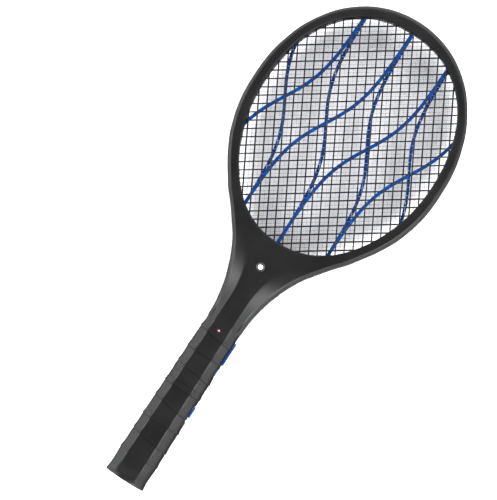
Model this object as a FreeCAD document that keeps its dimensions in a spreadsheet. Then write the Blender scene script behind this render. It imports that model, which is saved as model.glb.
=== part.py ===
import FreeCAD, Part
import os, math
import Sketcher
from FreeCAD import Vector as V

# Electric fly swatter.  Modelling axes: X right (switch side), Y from the torch
# lens towards the head tip (station 0 = lens end), Z out of the front face,
# Z = 0 on the seam between the front and the rear shells.  Every sub-part is then
# placed so that the origin is under the middle of the object, on its rest plane.

doc = FreeCAD.newDocument("electric_fly_swatter")
sheet = doc.addObject("Spreadsheet::Sheet", "dims")
_row = [1]


def dim(alias, value, note=""):
    r = _row[0]
    sheet.set("A%d" % r, note or alias)
    sheet.set("B%d" % r, str(value))
    sheet.setAlias("B%d" % r, alias)
    _row[0] += 1


dim("total_length", 517.5, "lens end to head tip")
dim("head_width", 211.8, "widest part of the head")
dim("rim_radius", 20.9, "flared rim round the torch lens, the lowest point at rest")
dim("join_station", 115.7, "lower end of the racket handle")
dim("torch_end", 115.4, "inner end face of the torch")
dim("grip_half_width", 19.6, "half width of the grip at its ridges")
dim("grip_half_depth", 18.2, "half depth of the grip at its ridges")
dim("grip_scallop", 0.8, "depth of the hollows between the grip ridges")
dim("side_draft", 2.1, "how far the side faces of the grip fall away from the seam")
dim("rim_half_depth", 10.5, "seam to the rim face")
dim("bevel_start", 7.0, "seam to the start of the bevel")
dim("wall", 2.0, "shell wall")
dim("mesh_wire", 1.2, "wire of the three grids")
dim("mesh_pitch_a", 8.4, "wire spacing, first direction")
dim("mesh_pitch_b", 7.9, "wire spacing, second direction")
dim("grid_gap", 5.0, "centre grid to safety mesh, middle to middle")
dim("rib_width", 3.2, "width of the wavy ribs")
dim("rib_height", 3.3, "height of the wavy ribs")
dim("clamp_width", 3.3, "how far the grids reach into the rim")
dim("power_travel", 14.0, "travel of the power switch knob")
dim("torch_travel", 5.0, "travel of the torch switch knob")
dim("button_travel", 1.8, "travel of the push button")
dim("power_knob_station", 161.8)
dim("power_base_station", 152.2)
dim("button_station", 131.5)
dim("torch_knob_station", 88.0)
dim("torch_base_station", 85.2)
dim("led_station", 239.5, "white LED in the throat")
dim("lamp_station", 167.5, "red indicator LED")
dim("cell_radius", 9.1)
dim("cell_length", 65.0)
dim("plug_radius", 2.75, "barrel plug")
dim("plug_length", 9.5)
dim("fit_gap", 0.05, "radial clearance of running fits")
dim("screw_radius", 1.05)
dim("screw_head_radius", 1.9)
doc.recompute()


def g(name):
    return float(sheet.get(name))


doc.recompute()
LEN = g("total_length")
YC = LEN / 2.0
ZC = g("rim_radius")
dim("centre_station", "=total_length / 2", "shift that centres the object on Y")
dim("rest_height", "=rim_radius", "seam above the rest plane")
doc.recompute()
WALL = g("wall")
RIM = g("rim_half_depth")
BEV = g("bevel_start")
K = g("head_width") / 211.8

PARTS = []


def publish(obj, label):
    obj.Label = label
    PARTS.append(obj)
    return obj


def seat(obj, x="0", y="0", z="0"):
    """Bind a finished sub-part's placement to the sheet."""
    obj.setExpression(".Placement.Base.x", x)
    obj.setExpression(".Placement.Base.y", "%s - dims.centre_station" % y)
    obj.setExpression(".Placement.Base.z", "%s + dims.rest_height" % z)
    return obj


# ------------------------------------------------------------------ tables
def interp(table, t):
    if t <= table[0][0]:
        return table[0][1]
    for (a, p), (b, q) in zip(table, table[1:]):
        if t <= b:
            return p + (q - p) * (t - a) / (b - a)
    return table[-1][1]


RIDGES = [(0.0, 0.0), (24.8, 0.0), (44.0, 3.0), (63.0, 0.0), (82.0, 3.0), (101.0, 0.0),
          (121.0, 3.0), (140.0, 0.0), (160.0, 3.0), (178.0, 0.0)]
LEAN = [(0, 0), (24.8, 0), (44, 3), (63, 0), (82, 3), (101, 0), (116.8, 0), (121, 3), (140, 0), (160, 3), (173, 0)]
CREST = [(0, 20.9), (24.8, 20.4), (44, 20.1), (63, 20.0), (82, 19.8), (101, 19.6), (121, 19.35),
         (140, 19.2), (160, 19.1), (178, 18.9)]
THROAT = [(173, 18.1), (184, 18.5), (193, 19.4), (203, 21.2), (214, 23.8), (222, 26.5), (231, 29.8),
          (241, 34.4), (251, 40.0), (262, 48.1)]
PANEL = [(173, 9.1), (205, 9.2), (212, 9.6), (222, 10.6), (235, 13.6), (246, 18.2), (256, 23.0), (262, 26.5)]
FRONT = [(173, 17.4), (200, 17.4), (212, 17.0), (225, 15.9), (240, 13.8), (250, 12.0), (257, 10.9), (262, 10.5)]
OUTER = [(251, 40.0), (262, 48.1), (269, 53.3), (277, 59.7), (285, 66.7), (296.7, 75.0), (308.2, 82.8), (319.6, 89.4),
         (331, 95.0), (342.6, 99.1), (354, 102.3), (365.6, 104.5), (377, 105.6), (391, 105.9),
         (406, 105.4), (417, 104.2), (428.7, 101.9), (440, 98.6), (451.7, 94.5), (463, 88.8),
         (474.7, 81.3), (486, 72.3), (497.6, 59.3), (506.5, 45.5), (513.5, 28.0), (517.5, 0.0)]
INNER = [(268.0, 0.0), (269.3, 15.0), (273.3, 29.0), (280, 42.4), (289, 54.0), (302, 65.8), (320, 77.5),
         (340, 86.2), (360, 91.9), (378, 94.4), (394, 94.9), (410, 94.0), (425, 91.6), (440, 87.8), (455, 81.8),
         (468, 74.2), (480, 64.2), (490, 52.2), (498, 38.5), (503.4, 20.5), (505.2, 0.0)]


def grip(y, dx=0.0):
    """Half width, half depth, facet half width and side half height of the grip at a
    station.  The section has a front and a rear panel, four bevels and four side faces
    that lean out to the seam, hollowed between crisp ridges."""
    crest = interp(CREST, y)
    sag = 0.0
    for (a, ta), (b, tb) in zip(RIDGES, RIDGES[1:]):
        if a <= y <= b:
            u = (y - a) / (b - a)
            sag = g("grip_scallop") * (1 - (2 * u - 1) ** 2)
    if y < 24.8:
        sag = 0.9 * (y / 24.8) ** 1.2 * (1 - max(0.0, (y - 16) / 8.8)) if y > 16 else 0.9 * (y / 24.8) ** 1.2
    w = crest - sag
    d = g("grip_half_depth") - sag - (0.55 if y > 40 else 0.55 * y / 40.0) * 1.0
    return w, d, 11.3 - 0.0095 * y - sag * 0.4, BEV + 1.2


def draft(y):
    """How far the side faces fall away between the seam and the bevel."""
    return g("side_draft") * (1.0 if y <= 150 else max(0.25, 1 - (y - 150) / 30.0))


def turn(y):
    """Lean of the section plane: every second ridge is tilted, left end higher."""
    t = interp(LEAN, y)
    return math.degrees(math.atan(t / 19.5))


def ngon(y, inset=0.0):
    """Grip section as sixteen points in its leaning plane, round at the lens end."""
    w, d, f, s = grip(y)
    flare = 0.0 if y >= 18 else (18 - max(y, 3.0)) / 15.0
    d += (w - 0.4 - d) * flare
    w -= inset
    d -= inset
    f -= inset * 0.42
    s -= inset * 0.42
    blend = 0.0 if y >= 6.5 else (6.5 - max(y, 1.0)) / 5.5
    pts = []
    c = 0.55
    e = w - draft(y)
    octo = [(w, -0.4), (w, 0.4), (e, s), (f + c * .8, d - c * .8), (f - c, d), (-f + c, d),
            (-f - c * .8, d - c * .8), (-e, s), (-w, 0.4), (-w, -0.4),
            (-e, -s), (-f - c * .8, -d + c * .8), (-f + c, -d), (f - c, -d),
            (f + c * .8, -d + c * .8), (e, -s)]
    a0 = math.radians(-11.25)
    for i, (x, z) in enumerate(octo):
        a = a0 + math.radians(22.5) * i
        rx, rz = w * math.cos(a), d * math.sin(a)
        pts.append((x + (rx - x) * blend, z + (rz - z) * blend))
    return pts


def section_wire(y, inset=0.0, half=False, flat=None):
    lean = math.radians(turn(y) if flat is None else 0.0)
    pts = []
    for x, z in ngon(y, inset):
        pts.append(V(x, y - x * math.tan(lean) * 1.0, z))
    return Part.makePolygon(pts + [pts[0]])


def stations(a, b, step=4.9):
    """Stations from a to b that include every ridge."""
    marks = [a] + [r for r, _ in RIDGES if a + 1 < r < b - 1] + [b]
    out = [a]
    for p, q in zip(marks, marks[1:]):
        n = max(1, int(round((q - p) / step)))
        out += [p + (q - p) * i / n for i in range(1, n + 1)]
    return out


def slab(x0, x1, y0, y1, z0, z1):
    return Part.makeBox(x1 - x0, y1 - y0, z1 - z0, V(x0, y0, z0))


def cyl(r, p, axis, length):
    return Part.makeCylinder(r, length, V(*p), V(*axis))


def spline(pts):
    c = Part.BSplineCurve()
    c.interpolate([V(x, y, z) for x, y, z in pts])
    return c.toShape()


def normals(pts, closed):
    n = len(pts)
    out = []
    for i in range(n):
        a = pts[(i - 1) % n] if closed or i > 0 else pts[i]
        b = pts[(i + 1) % n] if closed or i < n - 1 else pts[i]
        tx, ty = b[0] - a[0], b[1] - a[1]
        L = math.hypot(tx, ty)
        out.append((ty / L, -tx / L))
    return out


RIGHT = [(x * K, y) for y, x in OUTER]
OUTLINE = RIGHT + [(-x, y) for x, y in RIGHT[-2::-1]]       # anticlockwise, open at the bottom
HOLE = [(x * K, y) for y, x in INNER] + [(-x * K, y) for y, x in INNER[-2:0:-1]]


def outline_at(inset, z):
    nr = normals(OUTLINE, False)
    nr[0] = (math.cos(math.radians(-33)), math.sin(math.radians(-33)))
    nr[-1] = (-nr[0][0], nr[0][1])
    pts = [(x - a * inset, y - b * inset, z) for (x, y), (a, b) in zip(OUTLINE, nr)]
    e = spline(pts)
    return Part.Wire([e, Part.makeLine(V(*pts[-1]), V(*pts[0]))])


def hole_points(outset):
    nr = normals(HOLE, True)
    return [(x + a * outset, y + b * outset) for (x, y), (a, b) in zip(HOLE, nr)]


def hole_wire(outset, z):
    pts = [V(x, y, z) for x, y in hole_points(outset)]
    c = Part.BSplineCurve()
    c.interpolate(Points=pts, PeriodicFlag=True)
    return Part.Wire(c.toShape())


def stack(wires):
    return Part.makeLoft(wires, True, True)


def prism(wire, height):
    return Part.Face(wire).extrude(V(0, 0, height))


YJ = 262.0
big = slab(-130, 130, YJ, 540, -60, 60)


def head_solid(inset, top, z0):
    if inset == 0.0:
        s = stack([outline_at(0.0, z0), outline_at(0.0, BEV), outline_at(2.9, RIM)])
    else:
        s = prism(outline_at(inset, z0), top - z0)
    return s.common(big)


def corners(solid):
    """Corner points of the head solid on the joining plane, right side, from the seam up."""
    ws = solid.slice(V(0, 1, 0), YJ + 0.0005)
    pts = sorted({(round(v.Point.x, 4), round(v.Point.z, 4)) for w in ws for v in w.Vertexes if v.Point.x > 1},
                 key=lambda p: (p[1], -p[0]))
    return pts


def throat_section(y, inset, last=None, z0=0.0):
    if last:
        (w, b), (q, zq), p, d = last[-2], last[-1], interp(PANEL, y), RIM
    else:
        w, p, d = interp(THROAT, y), interp(PANEL, y), interp(FRONT, y)
        if y <= 173.01:
            w, d, f, s = grip(173.0)
            q, zq, p, b = w + (f - w) * 0.30, s + (d - s) * 0.30, f, s
        else:
            u = min(1.0, (y - 173.0) / 30.0)
            b = (BEV + 1.2) * (1 - u) + BEV * u
            k = (interp(THROAT, y + 2) - interp(THROAT, y - 2)) / 4.0
            c = 2.9 * math.sqrt(1 + k * k)
            q, zq = w - c, RIM
            if y < 203:
                gw, gd, gf, gs = grip(173.0)
                q = (w + (p - w) * 0.30) * (1 - u) + q * u
                zq = (b + (d - b) * 0.30) * (1 - u) + zq * u
    w, q, p, d, zq = w - inset, q - inset * 0.75, p - inset * 0.3, d - inset, zq - inset * 0.8
    b -= inset * 0.4
    if inset and last:
        w, q, d, zq = w - 0.4, q - 0.4, RIM - inset, RIM - inset
        d = zq
    pts = [(w, z0), (w, b), (q, zq), (p, d), (-p, d), (-q, zq), (-w, b), (-w, z0)]
    return Part.makePolygon([V(x, y, z) for x, z in pts + [pts[0]]])


THROAT_Y = [173, 184, 193, 203, 212, 222, 231, 241, 251]


def racket_half():
    """Front half of the racket, hollow, open at the seam."""
    head = head_solid(0.0, RIM, 0.0)
    last = [(w, z) for w, z in corners(head)]
    throat = stack([throat_section(y, 0.0) for y in THROAT_Y] + [throat_section(YJ, 0.0, last)])
    j = g("join_station")
    full = stack([section_wire(j, 0, flat=1)] + [section_wire(y) for y in stations(118.0, 170.0)] + [grip_end(173.0, 0.0)])
    handle = full.common(slab(-40, 40, 100, 200, 0, 40))
    body = handle.fuse([throat, head]).removeSplitter()
    # cavities
    z0 = -1.0
    cav_head = head_solid(1.8, RIM - 1.8, z0).cut(prism(hole_wire(1.8, z0), 30))
    cav_low = prism(hole_wire(g("clamp_width") + 0.15, z0), g("grid_gap") + g("mesh_wire") / 2 + 0.05 - z0)
    cav_throat = stack([throat_section(y, WALL, None, z0) for y in THROAT_Y] + [throat_section(YJ, WALL, last, z0)])
    cav_throat = cav_throat.fuse(slab(-40, 40, YJ - 0.5, YJ + 1.5, z0, RIM - 2.2))
    cav_grip = stack([section_wire(j + 2.3, WALL, flat=1)] + [section_wire(y, WALL) for y in stations(121.0, 170.0)] + [grip_end(173.5, WALL)])
    hole = stack([hole_wire(0.0, -2.0), hole_wire(0.0, RIM - 1.3), hole_wire(1.2, RIM + 0.01)])
    body = body.cut([cav_grip, cav_throat, cav_head]).cut(cav_low).cut(hole)
    return body


def grip_end(y, inset):
    return section_wire(173.0, inset, flat=1) if y == 173.0 else Part.makePolygon(
        [V(p.Point.x, y, p.Point.z) for p in section_wire(173.0, inset, flat=1).OrderedVertexes] +
        [V(section_wire(173.0, inset, flat=1).OrderedVertexes[0].Point.x, y, section_wire(173.0, inset, flat=1).OrderedVertexes[0].Point.z)])


# ------------------------------------------------------------------ builders
def feature(label, shape):
    o = doc.addObject("Part::Feature", label + "_solid")
    o.Shape = shape
    publish(o, label)
    return seat(o)


def plane_of(body, role):
    return [f for f in body.Origin.OriginFeatures if f.Role == role][0]


def bind(sk, kind, geo, pos, expr):
    value = float(doc.getObject("probe").evalExpression(expr)) if not isinstance(expr, (int, float)) else float(expr)
    if abs(value) < 1e-9:
        sk.addConstraint(Sketcher.Constraint("PointOnObject", geo, pos, -2 if kind == "DistanceX" else -1))
        return
    i = sk.addConstraint(Sketcher.Constraint(kind, -1, 1, geo, pos, value))
    if not isinstance(expr, (int, float)):
        sk.setExpression("Constraints[%d]" % i, expr)


probe = doc.addObject("App::FeaturePython", "probe")


def polygon_sketch(body, role, pts, name):
    sk = body.newObject("Sketcher::SketchObject", name)
    sk.AttachmentSupport = [(plane_of(body, role), "")]
    sk.MapMode = "FlatFace"
    vals = [[float(probe.evalExpression(c)) if not isinstance(c, (int, float)) else float(c) for c in p] for p in pts]
    n = len(pts)
    for i in range(n):
        a, b = vals[i], vals[(i + 1) % n]
        sk.addGeometry(Part.LineSegment(V(a[0], a[1], 0), V(b[0], b[1], 0)), False)
    for i in range(n):
        sk.addConstraint(Sketcher.Constraint("Coincident", i, 2, (i + 1) % n, 1))
    for i, p in enumerate(pts):
        bind(sk, "DistanceX", i, 1, p[0])
        bind(sk, "DistanceY", i, 1, p[1])
    return sk


def new_body(label):
    return doc.addObject("PartDesign::Body", label + "_body")


def turned(label, pts, at=("0", "0", "0"), rot=None):
    """A turned piece: profile in the body's XY plane, revolved about its Y axis."""
    b = new_body(label)
    sk = polygon_sketch(b, "XY_Plane", pts, label + "_profile")
    r = b.newObject("PartDesign::Revolution", label + "_turned")
    r.Profile = sk
    r.ReferenceAxis = (sk, ["V_Axis"])
    r.Angle = 360.0
    doc.recompute()
    publish(b, label)
    seat(b, *at)
    if rot:
        b.Placement.Rotation = FreeCAD.Rotation(*rot)
    return b


def padded(label, role, pts, length, at=("0", "0", "0"), midplane=False, chamfer=None):
    b = new_body(label)
    sk = polygon_sketch(b, role, pts, label + "_outline")
    p = b.newObject("PartDesign::Pad", label + "_pad")
    p.Profile = sk
    p.Midplane = midplane
    if isinstance(length, (int, float)):
        p.Length = length
    else:
        p.setExpression("Length", length)
    doc.recompute()
    publish(b, label)
    seat(b, *at)
    return b


def block(name, l, w, t, x, y, z):
    o = doc.addObject("Part::Box", name)
    for prop, e in (("Length", l), ("Width", w), ("Height", t), (".Placement.Base.x", x), (".Placement.Base.y", y),
                    (".Placement.Base.z", z)):
        o.setExpression(prop, str(e))
    return o


def rod(name, r, length, x, y, z, axis="Z"):
    o = doc.addObject("Part::Cylinder", name)
    if axis == "Y":
        o.Placement.Rotation = FreeCAD.Rotation(V(1, 0, 0), -90)
    if axis == "X":
        o.Placement.Rotation = FreeCAD.Rotation(V(0, 1, 0), 90)
    for prop, e in (("Radius", r), ("Height", length), (".Placement.Base.x", x), (".Placement.Base.y", y),
                    (".Placement.Base.z", z)):
        o.setExpression(prop, str(e))
    return o


def cut(label, base, *tools):
    for i, t in enumerate(tools):
        c = doc.addObject("Part::Cut", "%s_cut%d" % (label, i))
        c.Base, c.Tool = base, t
        base = c
    publish(base, label)
    return seat(base)


def fused(label, *items):
    f = doc.addObject("Part::MultiFuse", label + "_joined")
    f.Shapes = list(items)
    publish(f, label)
    return seat(f)


def group(label, shapes):
    return feature(label, Part.makeCompound(shapes))


def lead(label, pts, r):
    s = None
    for a, b in zip(pts, pts[1:]):
        a, b = V(*a), V(*b)
        c = Part.makeCylinder(r, (b - a).Length, a, b - a)
        s = c if s is None else s.fuse(c)
        if tuple(b) != tuple(pts[-1]):
            s = s.fuse(Part.makeSphere(r, b))
    return s


def racetrack(length, width, thick, x, yc, zc=0.0):
    """Round-ended plate standing on the side facet: long on Y, thin on X."""
    r = width / 2.0
    s = Part.makeBox(thick, length - width, width, V(x, yc - (length - width) / 2.0, zc - r))
    return s.fuse([cyl(r, (x, yc - (length - width) / 2.0, zc), (1, 0, 0), thick),
                   cyl(r, (x, yc + (length - width) / 2.0, zc), (1, 0, 0), thick)]).removeSplitter()


# ------------------------------------------------------------------ racket shells
half = racket_half()
outer_full = stack([section_wire(g("join_station"), 0, flat=1)] + [section_wire(y) for y in stations(118.0, 170.0)] +
                   [grip_end(173.0, 0.0)]).fuse(
    stack([throat_section(y, 0.0, None, -1.0) for y in THROAT_Y]))

def ring_at(y, side):
    x = interp(INNER[:], y)
    pts = [p for p in hole_points(6.1) if p[0] * side > 0]
    return min(pts, key=lambda p: abs(p[1] - y))


RING = [ring_at(y, sx) for y in (302, 360, 425, 480) for sx in (1, -1)]
LOW = [(27.0, 256.0), (-27.0, 256.0)]
DEEP = [(12.3, 181.0), (-12.3, 181.0), (-12.3, 124.0)]
SR, SH = g("screw_radius"), g("screw_head_radius")
SEAT = -8.0

PB, PK, ZB = g("power_base_station"), g("power_knob_station"), g("button_station")
side_cut = racetrack(26.7, 8.1, 12.0, 10.0, PB).fuse([racetrack(28.8, 10.4, 2.3, 13.9, PB), cyl(4.6, (10.0, ZB, 0), (1, 0, 0), 12.0),
                                                      cyl(5.4, (10.0, ZB, 0), (1, 0, 0), 6.25)])

lean = math.degrees(math.atan((interp(FRONT, 236) - interp(FRONT, 243)) / 7.0))
led_y = g("led_station")
led_axis = V(0, math.sin(math.radians(lean)), math.cos(math.radians(lean)))
led_p = V(0, led_y, interp(FRONT, led_y))
lamp_y = g("lamp_station")
lamp_z = grip(lamp_y)[1]

front = half
front = front.fuse([cyl(2.6, (x, y, 0), (0, 0, 1), 9.4) for x, y in RING + LOW] +
                   [cyl(3.0, (x, y, 0), (0, 0, 1), 30).common(outer_full) for x, y in DEEP])
front = front.cut([cyl(SR, (x, y, -1), (0, 0, 1), 8.0) for x, y in RING + LOW + DEEP])
front = front.cut([side_cut, Part.makeCylinder(4.35, 12, led_p - led_axis * 6, led_axis),
                   cyl(1.56, (0, lamp_y, 10), (0, 0, 1), 12), cyl(3.1, (0, 110, 0), (0, 1, 0), 10)])
feature("racket_front_shell", front.removeSplitter())

rear = half
rear = rear.fuse([cyl(2.6, (x, y, 0), (0, 0, 1), 9.4) for x, y in RING + LOW] +
                 [cyl(3.2, (x, y, 0), (0, 0, 1), 30).common(outer_full) for x, y in DEEP])
rear = rear.cut([cyl(SR + 0.25, (x, y, -1), (0, 0, 1), 12) for x, y in RING + LOW + DEEP] +
                [cyl(SH + 0.15, (x, y, -SEAT), (0, 0, 1), 14) for x, y in RING + LOW + DEEP])
rear = rear.cut([side_cut, cyl(3.1, (0, 110, 0), (0, 1, 0), 10)])
rear = rear.removeSplitter().mirror(V(0, 0, 0), V(0, 0, 1))
feature("racket_rear_shell", rear)


def screw(x, y, length=13.6):
    s = cyl(SR, (x, y, SEAT), (0, 0, 1), length).fuse(cyl(SH, (x, y, SEAT - 1.3), (0, 0, 1), 1.3))
    return s.cut(slab(x - 0.3, x + 0.3, y - 1.1, y + 1.1, SEAT - 1.4, SEAT - 0.7)).cut(
        slab(x - 1.1, x + 1.1, y - 0.3, y + 0.3, SEAT - 1.4, SEAT - 0.7))


group("racket_screws", [screw(x, y) for x, y in RING + LOW + DEEP])

# ------------------------------------------------------------------ grids and ribs
WIRE = g("mesh_wire")
CLAMP = g("clamp_width")
GAP = g("grid_gap")
DIR_A, DIR_B = 118.6, 34.0


def clip(poly, window):
    """Sutherland-Hodgman clip against a convex anticlockwise window."""
    out = poly
    n = len(window)
    for i in range(n):
        ax, ay = window[i]
        bx, by = window[(i + 1) % n]
        if not out:
            return []
        src, out = out, []
        side = [(bx - ax) * (p[1] - ay) - (by - ay) * (p[0] - ax) for p in src]
        for j in range(len(src)):
            p, q, sp, sq = src[j], src[(j + 1) % len(src)], side[j], side[(j + 1) % len(src)]
            if sp >= 0:
                out.append(p)
            if (sp > 0 > sq) or (sp < 0 < sq):
                t = sp / (sp - sq)
                out.append((p[0] + (q[0] - p[0]) * t, p[1] + (q[1] - p[1]) * t))
    return out


def area(poly):
    return abs(sum(a[0] * b[1] - b[0] * a[1] for a, b in zip(poly, poly[1:] + poly[:1]))) / 2.0


def window_points(outset):
    pts = [(p.x, p.y) for p in hole_wire(outset, 0).discretize(121)[:-1]]
    s = sum(a[0] * b[1] - b[0] * a[1] for a, b in zip(pts, pts[1:] + pts[:1]))
    return pts if s > 0 else pts[::-1]


def grid(zc, ua, ub):
    """Welded square grid as one flat sheet: a rim strip and the wires between the cells."""
    win = window_points(0.5)
    na = (math.cos(math.radians(DIR_A - 90)), math.sin(math.radians(DIR_A - 90)))
    nb = (math.cos(math.radians(DIR_B + 90)), math.sin(math.radians(DIR_B + 90)))
    det = na[0] * nb[1] - na[1] * nb[0]
    pa, pb, c0 = g("mesh_pitch_a"), g("mesh_pitch_b"), (0.0, 386.5)

    def cross(a, b):
        return (c0[0] + (a * nb[1] - b * na[1]) / det, c0[1] + (na[0] * b - nb[0] * a) / det)
    wires = []
    w = WIRE / 2.0
    for i in range(-20, 20):
        for j in range(-20, 20):
            a0, a1 = (i + ua) * pa + w, (i + 1 + ua) * pa - w
            b0, b1 = (j + ub) * pb + w, (j + 1 + ub) * pb - w
            cell = [cross(a0, b0), cross(a1, b0), cross(a1, b1), cross(a0, b1)]
            s = sum(p[0] * q[1] - q[0] * p[1] for p, q in zip(cell, cell[1:] + cell[:1]))
            if s < 0:
                cell = cell[::-1]
            c = clip(cell, win)
            if len(c) < 3 or area(c) < 2.5:
                continue
            c2 = [c[0]]
            for p in c[1:]:
                if math.hypot(p[0] - c2[-1][0], p[1] - c2[-1][1]) > 0.02:
                    c2.append(p)
            if math.hypot(c2[0][0] - c2[-1][0], c2[0][1] - c2[-1][1]) < 0.02:
                c2.pop()
            if len(c2) < 3:
                continue
            z0 = zc - w
            wires.append(Part.makePolygon([V(p[0], p[1], z0) for p in c2 + c2[:1]]))
    face = Part.Face([hole_wire(CLAMP, zc - w)] + wires)
    face.validate()
    return face.extrude(V(0, 0, WIRE))


feature("front_safety_mesh", grid(GAP, -0.15, 0.42))
feature("centre_high_voltage_grid", grid(0.0, 0.35, 0.92))
feature("rear_safety_mesh", grid(-GAP, -0.189, 0.538))

RW, RH = g("rib_width"), g("rib_height")
zone = prism(hole_wire(CLAMP - 1.0, -20), 40)


def rib(x0, sign, z):
    mid = []
    y = 256.0
    while y <= 512:
        s = 23.5 * (1 + math.tanh((388.5 - y) / 42.0))
        mid.append((sign * (x0 - s), y))
        y += 6.4
    nr = normals(mid, False)
    left = [(x - a * RW / 2, yy - b * RW / 2, z) for (x, yy), (a, b) in zip(mid, nr)]
    right = [(x + a * RW / 2, yy + b * RW / 2, z) for (x, yy), (a, b) in zip(mid, nr)]
    w = Part.Wire([spline(left), Part.makeLine(V(*left[-1]), V(*right[-1])), spline(right[::-1]),
                   Part.makeLine(V(*right[0]), V(*left[0]))])
    return Part.Face(w).extrude(V(0, 0, RH)).common(zone)


rib_z = GAP / 2 - RH / 2
front_ribs = [rib(x, 1, rib_z) for x in (-47.0, 0.0, 46.75, 93.5)]
rear_ribs = [rib(x, -1, -rib_z - RH) for x in (-47.0, 0.0, 46.75, 93.5)]
group("front_wavy_ribs", front_ribs)
group("rear_wavy_ribs", rear_ribs)


def spacer(z, ribs):
    r = prism(hole_wire(CLAMP, z), GAP - WIRE).cut(prism(hole_wire(0.0, z), GAP - WIRE))
    return r.cut(ribs)


feature("front_spacer_ring", spacer(WIRE / 2, front_ribs))
feature("rear_spacer_ring", spacer(-GAP + WIRE / 2, rear_ribs))

# ------------------------------------------------------------------ contacts and leads
fused("mesh_contact_clip",
      block("clip_web", "4", "0.5", "2*dims.grid_gap + dims.mesh_wire + 1", "8", "263.7", "-dims.grid_gap - dims.mesh_wire/2 - 0.5"),
      block("clip_hook_a", "4", "2.6", "0.5", "8", "263.7", "dims.grid_gap + dims.mesh_wire/2"),
      block("clip_hook_b", "4", "2.6", "0.5", "8", "263.7", "-dims.grid_gap - dims.mesh_wire/2 - 0.5"))
feature("high_voltage_lead", lead("hv", [(-6, 222.5, -0.7), (-9, 232, 1.0), (-11, 246, 0.5), (-10, 264.9, 0.0)], 0.7))
feature("ground_lead", lead("gnd", [(7.5, 221.5, -0.6), (8.5, 232, 1.2), (11.5, 250, 0.4), (10, 262.9, 0.0)], 0.7))
group("supply_leads", [lead("sa", [(-2.5, 129.9, 1.5), (-2.5, 131.6, 1.6), (-2.5, 133.2, -0.6)], 0.55),
                       lead("sb", [(2.5, 129.9, 1.5), (2.5, 131.6, 1.6), (2.5, 133.2, -0.6)], 0.55)])
group("led_legs", [lead("la", [(-1.27, led_y - 1.0, 7.8), (-1.27, 233, 3.0), (-1.27, 228.5, -0.9)], 0.3),
                   lead("lb", [(1.27, led_y - 1.0, 7.8), (1.27, 233, 3.0), (1.27, 228.5, -0.9)], 0.3),
                   lead("lc", [(-0.9, lamp_y, 10.8), (-0.9, lamp_y, -1.35)], 0.25),
                   lead("ld", [(0.9, lamp_y, 10.8), (0.9, lamp_y, -1.35)], 0.25)])

# ------------------------------------------------------------------ circuit board and parts
padded("circuit_board", "XY_Plane", [("-9", "131"), ("11.3", "131"), ("11.3", "171.5"), ("8.6", "175"), ("8.6", "230"), ("-8.6", "230"),
                                     ("-8.6", "175"), ("-9", "171")], "1.6", at=("0", "0", "-3.0"))
cut("transformer_core", block("core_block", "13", "13", "10.4", "-6.5", "199", "-1.4"),
    block("core_window_a", "2.6", "14", "6", "-4.6", "198.5", "0.8"), block("core_window_b", "2.6", "14", "6", "2.0", "198.5", "0.8"))
group("transformer_winding", [slab(-4.5, -2.1, 198.0, 213.0, 0.9, 6.7), slab(2.1, 4.5, 198.0, 213.0, 0.9, 6.7)])
cap = block("cap_block", "12", "5.6", "10.5", "-6", "216.6", "-1.4")
capf = doc.addObject("Part::Fillet", "cap_rounded")
capf.Base = cap
doc.recompute()
capf.Edges = [(i + 1, 1.0, 1.0) for i, e in enumerate(cap.Shape.Edges)
              if e.BoundBox.ZMax > cap.Shape.BoundBox.ZMax - 0.1]
publish(capf, "high_voltage_capacitor")
seat(capf)
group("diodes_and_resistors", [cyl(1.25, (x, y, -0.1), (1, 0, 0), 5.0) for x, y in ((-7.6, 178), (-7.6, 182), (-7.6, 186), (1.2, 178),
                                                                                  (1.2, 182), (-7.6, 192))])
fused("switching_transistor", block("tr_case", "8", "2.8", "10", "-1", "189.5", "1.2"),
      block("tr_leg_a", "0.7", "0.5", "3", "0.4", "190.6", "-1.4"), block("tr_leg_b", "0.7", "0.5", "3", "2.65", "190.6", "-1.4"),
      block("tr_leg_c", "0.7", "0.5", "3", "4.9", "190.6", "-1.4"))
cut("power_switch_body", block("psw_case", "7.3", "22.6", "4.4", "6.5", "143", "-1.4"),
    block("psw_slot", "3.2", "dims.power_travel + 4", "2.2", "10.8", "dims.power_knob_station - dims.power_travel - 2", "-1.1"))
cut("push_switch_body", block("tact_case", "4.1", "6", "5", "7.5", "dims.button_station - 3", "-1.4"),
    rod("tact_bore", "1.7 + dims.fit_gap", "4", "9.0", "dims.button_station", "0.9", "X"))

# DC socket that takes the torch's barrel plug
cut("dc_socket", block("socket_case", "9", "11.6", "10", "-4.5", "118.2", "-5"),
    rod("socket_bore", "dims.plug_radius + dims.fit_gap", "9.3", "0", "118", "0", "Y"))
turned("socket_centre_pin", [("0", "0"), ("1.0", "0"), ("1.0", "-6.5"), ("0.7", "-7.2"), ("0", "-7.2")], at=("0", "127.3", "0"))

# ------------------------------------------------------------------ racket switch, button, lamps
base = racetrack(26.6, 8.0, 1.75, 16.0, PB).fuse(racetrack(28.4, 10.0, 0.9, 15.1, PB))
base = base.cut(slab(14, 19, PK - g("power_travel") - 1.6, PK + 1.6, -1.15, 1.15)).removeSplitter()
feature("power_switch_base", base)


def ribbed_knob(yc, length, width, x0, x1, travel_stem, ribs):
    k = racetrack(length, width, x1 - x0, x0, yc)
    top = [e for e in k.Edges if abs(e.BoundBox.XMin - x1) < 1e-6 and abs(e.BoundBox.XMax - x1) < 1e-6]
    k = k.makeFillet(0.45, top)
    for i in range(ribs):
        y = yc + (i - (ribs - 1) / 2.0) * 1.5
        k = k.cut(slab(x1 - 0.4, x1 + 1, y - 0.35, y + 0.35, -width / 2 + 1.1, width / 2 - 1.1))
    return k.fuse(slab(travel_stem, x0 + 0.2, yc - 1.2, yc + 1.2, -0.8, 0.8)).removeSplitter()


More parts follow.
